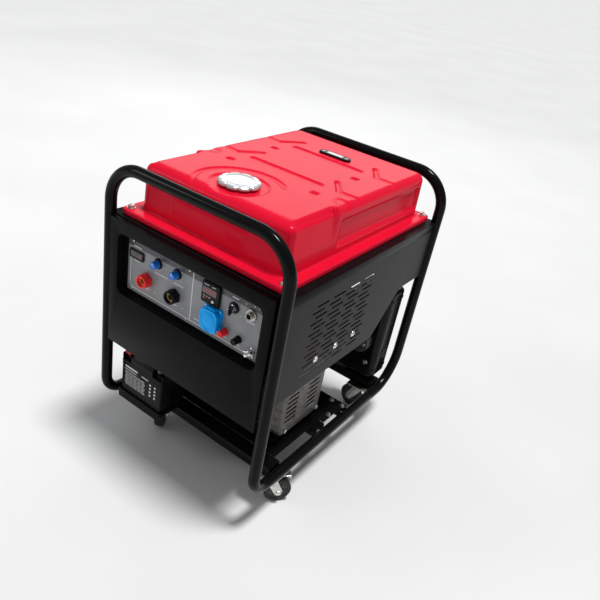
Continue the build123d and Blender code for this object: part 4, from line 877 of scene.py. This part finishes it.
def make_key_and_connectors():
    shape = Build()
    base = on_face(KEY.x, KEY_Z)

    def knurl(a, radius, height):
        return radius * (1 - 0.03 * max(0.0, math.cos(24 * a))) if radius > 11.5 else radius

    shape.lathe(base, OUT, [(5.1, -28), (5.1, 5.6), (5.6, 6.0), (8.6, 6.0), (9.5, 5.2), (9.5, 4.0),
            (12.2, 4.0), (13, 3.2), (13, 0.6), (12.6, 0), (9.5, 0), (9.5, -28), (5.1, -28)], "plastic", 96,
            knurl)
    shape.ring_solid(base, OUT, 8.3, 5.1, 5.6, 6.3, "chrome", 0.2, 48)
    remote = on_face(*REMOTE)
    shape.lathe(remote, OUT, [(6.1, -1), (6.1, 10.4), (6.6, 11), (7.5, 11), (8, 10.4), (8, 4), (13.2, 4),
            (14, 3.2), (14, 0.6), (13.6, 0), (8, 0), (8, -17), (0, -17), (0, -1), (6.1, -1)], "nickel", 96,
            knurl)
    shape.drum(remote, OUT, 6.0, -1, 0.6, "plastic", 0.4, 32)
    for i in range(5):
        shape.drum(remote + around(72 * i) * 3.5, OUT, 0.7, 0, 5.5, "brass", 0.3, 12)
    for node, look in (("binding_cap_positive", "red"), ("binding_cap_negative", "plastic")):
        post = middle(node)
        base = on_face(post.x, post.z)
        shape.lathe(base, OUT, [(0, 0), (9, 0), (9, 3.4), (8.4, 4.6), (7.2, 5.0), (0, 5.0)], look, 48)
        shape.lathe(base, OUT, [(0, 4.8)] + [(2.95 if i % 2 else 2.55, 5.2 + 0.6 * i) for i in range(20)]
                + [(0, 17)], "brass", 24)
        shape.drum(base, OUT, 5.0, -15.5, 0.2, "plastic", 0.4, 24)
    shape.done("panel_connectors_shape", "frame", ["panel_connectors"])

    shape = Build()
    base = on_face(KEY.x, KEY_Z)
    shape.drum(base, OUT, 4.9, FACE - box_mm("ignition_key")[1].y, 7.0, "steel", 0.5, 32)
    head = [(7.2, -4), (7.2, 4), (9.5, 8.2), (12.5, 9.8), (17, 9.4), (19.2, 6.4), (20, 0), (19.6, -8),
            (18.0, -12.6), (15.5, -13.8), (12.2, -13.2), (9.6, -10)]
    shape.prism(head, base + Vector((1.5, 0, 0)), OUT, UP, 3.0, "plastic", 0.8)
    shape.done("ignition_key_shape", "ignition_key", ["ignition_key"])

    for node, look in (("binding_cap_positive", "red"), ("binding_cap_negative", "plastic")):
        post = middle(node)

        def grip(a, radius, height):
            depth = 0.13 if radius > 6.9 and height > 8 else 0.0
            return radius * (1 - depth * max(0.0, math.cos(8 * a)) ** 2)

        shape = Build()
        shape.lathe(on_face(post.x, post.z), OUT, [(3.1, 6.1), (7.5, 6.1), (8, 6.7), (8, 8), (7.7, 9),
                (7.7, 18.4), (7.0, 19.6), (5.9, 20), (2.4, 20), (2.2, 19.6), (2.2, 18.2), (3.1, 18.0),
                (3.1, 6.1)], look, 96, grip)
        shape.drum(on_face(post.x, post.z), OUT, 2.1, 17.6, 18.2, "brass", 0.3, 20)
        shape.done(node + "_shape", node, [node])

    shape = Build()
    ground = on_face(GROUND.x, GROUND.z)
    shape.lathe(ground, OUT, [(4.5, 2.4), (6.6, 2.4), (7, 2.9), (6.6, 8.5), (5.9, 11.6), (5.4, 12.0),
            (4.5, 12.0), (4.5, 2.4)], "chrome", 40)
    wing = [(4.8, 4.2), (9, 5.0), (12.4, 5.2), (13.9, 7.4), (13.8, 10.6), (12.4, 12.3), (10.2, 12.2),
            (7.8, 10.6), (5.2, 9.8)]
    for sign in (-1, 1):
        outline = [(sign * px, py) for px, py in wing]
        shape.prism(outline, ground + UP * 1.6, RIGHT, OUT, 3.2, "chrome", 0.7)
    shape.done("ground_wing_nut_shape", "ground_wing_nut", ["ground_wing_nut"])


def washer_and_bolt(shape, origin, axis, washer, across, height, look="zinc", turn=0.0):
    """Hexagon head on a washer, its top edge turned down, with a faint raised ring in the middle."""
    shape.ring_solid(origin, axis, washer, 0.6, 0, 1.6, look, 0.3, 40)
    shape.hexagon(origin, axis, across, 1.6, height, look, 0.6, turn)
    shape.lathe(origin, axis, [(0, height - 0.3), (across * 0.44, height - 0.3),
            (across * 0.38, height + 0.1), (0, height + 0.15)], look, 32)


def make_fasteners():
    shape = Build()
    low, high = box_mm("control_panel")
    for x in (low.x + 15.0, -8.0, high.x - 10.0):
        for z in (low.z + 7.0, high.z - 7.0):
            base = on_face(x, z)
            shape.lathe(base, OUT, [(0, 0), (4, 0), (4, 0.6), (3.6, 1.5), (2.6, 2.05), (0, 2.2)], "zinc", 32)
            turn = Matrix.Rotation(math.radians(20 + 37 * (x + z) % 90), 3, "Y")
            # Dark cross on each screw head: painted shade standing for the cross recess.
            for size in ((4.6, 0.9), (0.9, 4.6)):
                half = Vector((size[0] / 2, 0.35, size[1] / 2))
                shape.box(base + OUT * 1.95 - half, base + OUT * 1.95 + half, "ink_and_recess_shade_dark", 0, turn=turn)
    ground = on_face(GROUND.x, GROUND.z)
    shape.lathe(ground, OUT, [(0, 0), (9, 0), (9, 1.4), (8.4, 2.0), (4.4, 2.0), (4.4, 13.0)] + [(3.95
            if i % 2 else 3.45, 13.4 + 0.62 * i) for i in range(15)] + [(3.2, 22.9), (0, 23.0)], "chrome",
            40)
    shape.drum(ground, OUT, 4.3, -13, 0.5, "chrome", 0.4, 24)
    side_x = box_mm("right_side_panel")[1].x
    for sign in (-1, 1):
        for y in (-182.0, -98.0, -18.0):
            spot = Vector((sign * side_x, y, 401.0))
            axis = Vector((sign, 0, 0))
            shape.ring_solid(spot, axis, 8.5, 0.6, 0, 1.4, "zinc", 0.3, 40)
            shape.lathe(spot, axis, [(0, 1.4), (6.4, 1.4), (6.2, 2.6), (5.2, 3.9), (3.4, 4.6), (2.4, 4.7),
                    (2.2, 3.6), (0, 3.6)], "chrome", 40)
    for x in (-222, 222):
        for y in (-312, 312):
            spot = Vector((x, y, SEAM + 2.0))
            washer_and_bolt(shape, spot, (0, 0, 1), 10.0, 13.0, 8.0, "zinc", 0.3 * x)
            shape.drum(spot, (0, 0, 1), 4.0, -13.0, 0.5, "zinc", 0.5, 20)
    shape.done("fasteners_shape", "frame", ["fasteners"])


def make_cap_and_gauge():
    low, high = box_mm("fuel_cap")
    radius = (high.x - low.x) / 2
    base = Vector((CAP.x, CAP.y, high.z - 8.0))

    def scallops(a, r, height):
        cut = max(0.0, math.cos(10 * a)) ** 3
        return r * (1 - 0.085 * cut * smooth_step((r - 34) / 9)) if r > 34 else r

    shape = Build()
    shape.lathe(base, (0, 0, 1), [(0, 7.0), (27, 7.0), (29.5, 6.9), (31.0, 6.2), (33.0, 6.3), (35.0, 7.3),
            (38.0, 8.0), (42.5, 7.9), (45.6, 7.0), (47.6, 5.4), (radius - 0.5, 3.2), (radius, 1.6),
            (radius - 0.2, 0.2), (radius - 1.4, 0.0), (radius - 2.0, 1.0), (36, 1.0), (34, 0.0)], "cap",
            240, scallops)
    shape.lathe(base, (0, 0, 1), [(33.6, 1.2), (33.6, -3.9), (32.8, -4.0), (0, -4.0)], "plastic", 64)
    for i in range(2):
        a = math.radians(40 + 180 * i)
        shape.box(base + Vector((math.cos(a) * 16 - 5, math.sin(a) * 16 - 1.2, 6.8)),
                base + Vector((math.cos(a) * 16 + 5, math.sin(a) * 16 + 1.2, 7.5)), "cap", 0.3)
    shape.done("fuel_cap_shape", "fuel_cap", ["fuel_cap"], 30)

    low, high = box_mm("fuel_gauge")
    length = high.x - low.x
    width = high.y - low.y
    floor = Vector(((low.x + high.x) / 2, (low.y + high.y) / 2, low.z))
    along, across = Vector((1, 0, 0)), Vector((0, 1, 0))
    shape = Build()
    shape.prism(round_rect(length, width, width / 2 - 0.001, 14), floor, along, across, 2.4, "plastic", 0.5)
    shape.prism(round_rect(length - 3, width - 3, (width - 3) / 2 - 0.001, 14), floor + UP * 2.3, along,
            across, 2.9, "plastic", 1.2, 3)
    shape.prism(round_rect(50, 14, 4), floor + UP * 5.0, along, across, 0.5, "display_black", 0.2)
    shape.prism(round_rect(45, 10, 3), floor + UP * 5.4, along, across, 0.3, "glass", 0.1)
    for i in range(5):
        shape.box(floor + Vector((-18 + 9 * i - 0.4, 2.0, 5.65)),
                floor + Vector((-18 + 9 * i + 0.4, 4.4, 5.8)), "ink_light", 0)
    shape.box(floor + Vector((7.2, -4.2, 5.65)), floor + Vector((8.4, 1.2, 5.85)), "red", 0)
    for sign in (-1, 1):
        spot = floor + Vector((sign * (length / 2 - 12), 0, 0))
        shape.lathe(spot, (0, 0, 1), [(0, 5.0), (5.0, 5.0), (4.8, 5.5), (3.6, 5.95), (0, 6.0)], "chrome", 32)
        # Dark cross on the screw head: painted shade standing for the cross recess.
        shape.box(spot + Vector((-3, -0.45, 5.75)), spot + Vector((3, 0.45, 6.0)), "ink_and_recess_shade_dark", 0)
        shape.box(spot + Vector((-0.45, -3, 5.75)), spot + Vector((0.45, 3, 6.0)), "ink_and_recess_shade_dark", 0)
    shape.done("fuel_gauge_shape", "frame", ["fuel_gauge"])


make_panel_print()
for knob in KNOBS:
    make_knob(knob)
make_weld_sockets()
make_meters()
make_mains()
make_key_and_connectors()
make_fasteners()
make_cap_and_gauge()


# ---------- sheet metal, softened edges
SOFT = [
    ("front_cover", "sheet", 0.5, "cover_black"),
    ("base_frame", "frame", 0.8, "frame_black"),
    ("tank_rails", "sheet", 0.6, "cover_black"),
    ("battery_tray", "sheet", 0.4, "cover_black"),
    ("engine_tray", "sheet", 0.4, "cover_black"),
    ("control_box", "sheet", 0.4, "cover_black"),
    ("battery_case", "battery", 1.2, "plastic_black"),
    ("rocker_cover", "cast", 1.5, "cast_aluminium"),
    ("blower_housing", "exhaust", 1.0, "exhaust_black"),
    ("recoil_cover", "exhaust", 1.0, "exhaust_black"),
    ("air_filter_box", "plastic", 1.2, "plastic_black"),
    ("starter_motor", "exhaust", 0.8, "exhaust_black"),
    ("alternator_end_cover", "cast", 1.0, "cast_aluminium"),
    ("caster_plates", "zinc", 0.4, "zinc"),
    ("control_panel", "panel", 0.3, "panel_grey"),
]
for node, look, width, slot in SOFT:
    soften(node, look, width)
soften("crankcase", "cast", 0.6, flat=0.4)


# ---------- casters
def make_pedal(fork, centre, pivot, axis):
    """Foot brake of a caster: a pressed plate over the wheel, riding with the fork."""
    away = Vector((centre.x - pivot[0], centre.y - pivot[1], 0)).normalized()
    top = Vector((pivot[0], pivot[1], 54.0))
    shape = Build()
    profile = [(14, 0), (30, 1), (44, 1), (52, -3), (57, -9), (57, -6.4), (52, -0.4), (44, 3.6), (30, 3.6),
            (14, 2.6)]
    shape.prism(profile, top - axis * 11, away, UP, 22 if away.cross(UP).dot(axis) > 0 else -22, "zinc", 0.6)
    tip = top + away * 51 + UP * 0.5
    turn = Matrix.Rotation(math.atan2(away.y, away.x), 3, "Z")
    shape.box(tip - Vector((7, 11, 2.4)), tip + Vector((7, 11, 2.4)), "zinc", 1.6, 3, turn)
    shape.done(fork + "_pedal", fork)


def make_caster(key):
    fork = "caster_fork_" + key
    wheel = "caster_wheel_" + key
    soften(fork, "zinc", 0.5, body=fork)
    centre = middle(wheel)
    low, high = box_mm(wheel)
    r = (high.z - low.z) / 2
    joints = {joint["child"]: joint for joint in frame["record"]["behaviour"]["joints"]}
    axis = Vector(joints[wheel]["axis"])
    x, y = (value / M for value in joints[fork]["pos_m"][:2])
    half = 12.0
    hub = r * 0.68
    bore = hub + 0.9
    if key[0] == "f":
        make_pedal(fork, centre, (x, y), axis)
    shape = Build()
    shape.lathe(centre, axis, [(hub, -half + 2.0), (bore, -half + 0.4), (r - 4, -half),
            (r - 1.9, -half + 1.2), (r - 0.4, -half + 3.0), (r, -half + 5.5), (r, half - 5.5),
            (r - 0.4, half - 3.0), (r - 1.9, half - 1.2), (r - 4, half), (bore, half - 0.4),
            (hub, half - 2.0), (hub, -half + 2.0)], "rubber", 96)
    for sign in (-1, 1):
        shape.lathe(centre, axis * sign, [(4.2, 2), (4.2, half), (5.0, half + 0.2), (7.4, half),
                (8.2, half - 1.2), (8.6, half - 3.6), (hub - 1.4, half - 3.2), (hub + 0.1, half - 1.8),
                (hub + 0.1, 2), (4.2, 2)], "hub", 72)
        u, v, w = axis_frame(axis * sign)
        for i in range(6):
            a = math.radians(60 * i)
            spoke = u * math.cos(a) + v * math.sin(a)
            side = w.cross(spoke)
            spot = centre + w * (half - 4) + spoke * (hub + 8) / 2
            shape.prism(round_rect(hub - 9, 2.2, 0.5), spot, spoke, side, 2.2, "hub", 0.4)
    shape.done(wheel + "_shape", wheel, [wheel], 32)
    shape = Build()
    plate_top = box_mm("caster_plates")[1].z
    for dx, dy in ((-27, -27), (-27, 27), (27, -27), (27, 27)):
        if abs(x + dx) < 242:
            washer_and_bolt(shape, Vector((x + dx, y + dy, plate_top - 2.5)), (0, 0, -1), 6.5, 9.0, 5.2,
                    "zinc", dx * 0.1)
    shape.done("caster_bolts_" + key, "frame")


for key in CASTERS:
    make_caster(key)


# ---------- battery, silencer and other trim
def make_battery_trim():
    low, high = box_mm("battery_case")
    shape = Build()
    front = low.y
    middle_x = (low.x + high.x) / 2
    for z0, z1 in ((high.z - 21, high.z - 18.5), (high.z - 30, high.z - 28.5)):
        shape.box((low.x + 1, front - 0.8, z0), (high.x - 1, front + 0.5, z1), "battery", 0.3)
    for i in range(9):
        x = low.x + 14 + i * (high.x - low.x - 28) / 8
        shape.box((x - 1.4, front - 0.9, low.z + 6), (x + 1.4, front + 0.5, low.z + 20), "battery", 0.4)
    bars = [(-36, 38, 46, 6.5, "ink_light"), (-39, 28, 44, 2.2, "ink_light"), (14, 34, 24, 2.6, "ink_light")]
    for i in range(6):
        bars += [(-54 + 15 * j + 3 * (i % 2), 19 - 7.4 * i, 12 - (i * j) % 4, 2.6,
                "ink_light") for j in range(5)]
    bars += [(x, 24 - 11 * i, 6.0, 5.4, "ink_light") for x in (34, 51) for i in range(4)]
    for dx, dz, width, height, look in bars:
        spot = (middle_x + dx, front, (low.z + high.z) / 2 + dz - 8)
        shape.prism(round_rect(width, height, min(width, height) * 0.3), spot, RIGHT, UP, 0.35, look, 0)
    for i in range(6):
        x = low.x + 26 + i * 18.5
        spot = (x, (low.y + high.y) / 2 + 12, high.z)
        if x < high.x - 12:
            shape.lathe(spot, (0, 0, 1), [(0, 0), (7.5, 0), (7.5, 1.0), (6.8, 1.6), (0, 1.6)], "plastic", 32)
            shape.box(Vector(spot) + Vector((-5, -0.6, 1.4)), Vector(spot) + Vector((5, 0.6, 1.9)),
                    "ink_and_recess_shade_dark", 0)
    top = high.z
    boot = Vector((-206, low.y + 12, top + 3))
    shape.box(boot - Vector((11, 8, 7)), boot + Vector((11, 9, 7)), "lead_red", 3.5, 4)
    curve = [boot + Vector((-13 * math.sin(a), -5 + 3 * math.cos(a), 7 + 26 * (1 - math.cos(a))))
            for a in [math.radians(10 * i) for i in range(10)]]
    shape.tube(curve, 4.6, "lead_red", 20)
    shape.ring_solid(curve[3], curve[4] - curve[3], 5.6, 0.5, -3, 3, "zinc", 0.6, 24)
    shape.hexagon(Vector((-94, low.y + 12, top - 3)), UP, 13.0, 0, 7.0, "machined", 0.8, 0.4)
    shape.box((low.x + 34, low.y + 1.5, top), (high.x - 34, low.y + 22, top + 1.2), "ink_and_recess_shade_dark", 0.4)
    shape.done("battery_trim", "frame")


def make_silencer_trim():
    low, high = Vector((126, 232, 116)), Vector((238, 322, 404))  # the silencer's body
    shape = Build()
    cx, cy = (low.x + high.x) / 2, (low.y + high.y) / 2
    for z in (low.z + 26, high.z - 26):
        outline = round_rect(high.x - low.x + 3, high.y - low.y + 3, 23.5, 8)
        shape.prism(outline, (cx, cy, z - 2), (1, 0, 0), (0, 1, 0), 4, "exhaust", 1.2, 3)
    side = Vector((high.x, cy, low.z + 80))
    shape.lathe(side, (1, 0, 0), [(0, 2.2), (9, 2.2), (11, 1.8), (13, 0.4), (15, 0.2), (18, 1.6), (20, 1.6),
            (22, -0.5)], "exhaust", 64)
    for z in (low.z + 50, high.z - 60):
        washer_and_bolt(shape, Vector((high.x - 30, low.y, z)), (0, -1, 0), 7.0, 10.0, 6.0, "zinc")
    elbow = Vector((176, 231.5, 236))
    shape.prism(round_rect(70, 58, 22, 8), elbow, RIGHT, UP, 27, "cast", 7.0, 4)
    shape.prism(round_rect(40, 70, 18, 8), elbow + Vector((0, 0, -4)), RIGHT, UP, 16, "cast",
            4.0, 3)
    for dx in (-24, 24):
        washer_and_bolt(shape, elbow + Vector((dx, -27, 0)), (0, -1, 0), 6.0, 9.0, 5.0, "machined")
    shape.done("silencer_trim", "frame")


def make_end_cover_trim():
    """Bolts with washers on the outer face of the alternator end cover."""
    low, high = box_mm("alternator_end_cover")
    face = Vector((high.x - 4.0, (low.y + high.y) / 2, (low.z + high.z) / 2))
    shape = Build()
    for dy in (-70, 70):
        for dz in (-78, 78):
            washer_and_bolt(shape, face + Vector((0, dy, dz)), (1, 0, 0), 9.0, 12.0, 7.5, "machined", dy + dz)
    shape.done("end_cover_trim", "frame")


def make_member_bolts():
    shape = Build()
    for x, y in ((200, 86), (236, 86), (-200, 86), (-236, 86), (120, 84), (232, 20)):
        washer_and_bolt(shape, Vector((x, y, 96.0 if y > 60 else 99.0)), UP, 7.5, 10.0, 6.5, "zinc", x)
    shape.done("member_bolts", "frame")


make_battery_trim()
make_silencer_trim()
make_end_cover_trim()
make_member_bolts()


# ---------- floor and light
def make_stage():
    bpy.ops.mesh.primitive_plane_add(size=300.0, location=(0, 0, 0))
    floor = bpy.context.object
    floor.name = "floor"
    material, tree, shader, coords = new_material("floor")
    tint = ramp(tree, noise(tree, coords, 1.5, 4), [(0.3, (0.66, 0.66, 0.657)), (0.7, (0.70, 0.70, 0.697))])
    tree.links.new(tint, shader.inputs["Base Color"])
    put(shader, Roughness=0.8)
    floor.data.materials.append(material)
    world = bpy.data.worlds.new("world")
    world.use_nodes = True
    background = world.node_tree.nodes["Background"]
    put(background, Color=(0.95, 0.97, 1.0, 1.0), Strength=0.30)
    bpy.context.scene.world = world
    bpy.context.scene.view_settings.view_transform = "Standard"

    def lamp(name, kind, energy, direction):
        data = bpy.data.lights.new(name, kind)
        data.energy = energy
        thing = link(name, data)
        thing.rotation_euler = Vector(direction).to_track_quat("-Z", "Y").to_euler()
        return thing

    def area(name, location, target, size, power):
        thing = lamp(name, "AREA", power, Vector(target) - Vector(location))
        thing.location = location
        thing.data.shape = "RECTANGLE"
        thing.data.size, thing.data.size_y = size

    lamp("sun", "SUN", 3.1, (-0.45, -0.2, -2.3)).data.angle = math.radians(12)
    area("rim", (-2.3, 3.3, 2.5), (0, 0, 0.5), (3.0, 1.5), 26)
    area("front", (-2.6, -2.4, 2.4), (0, 0, 0.4), (0.8, 1.6), 18)


make_stage()
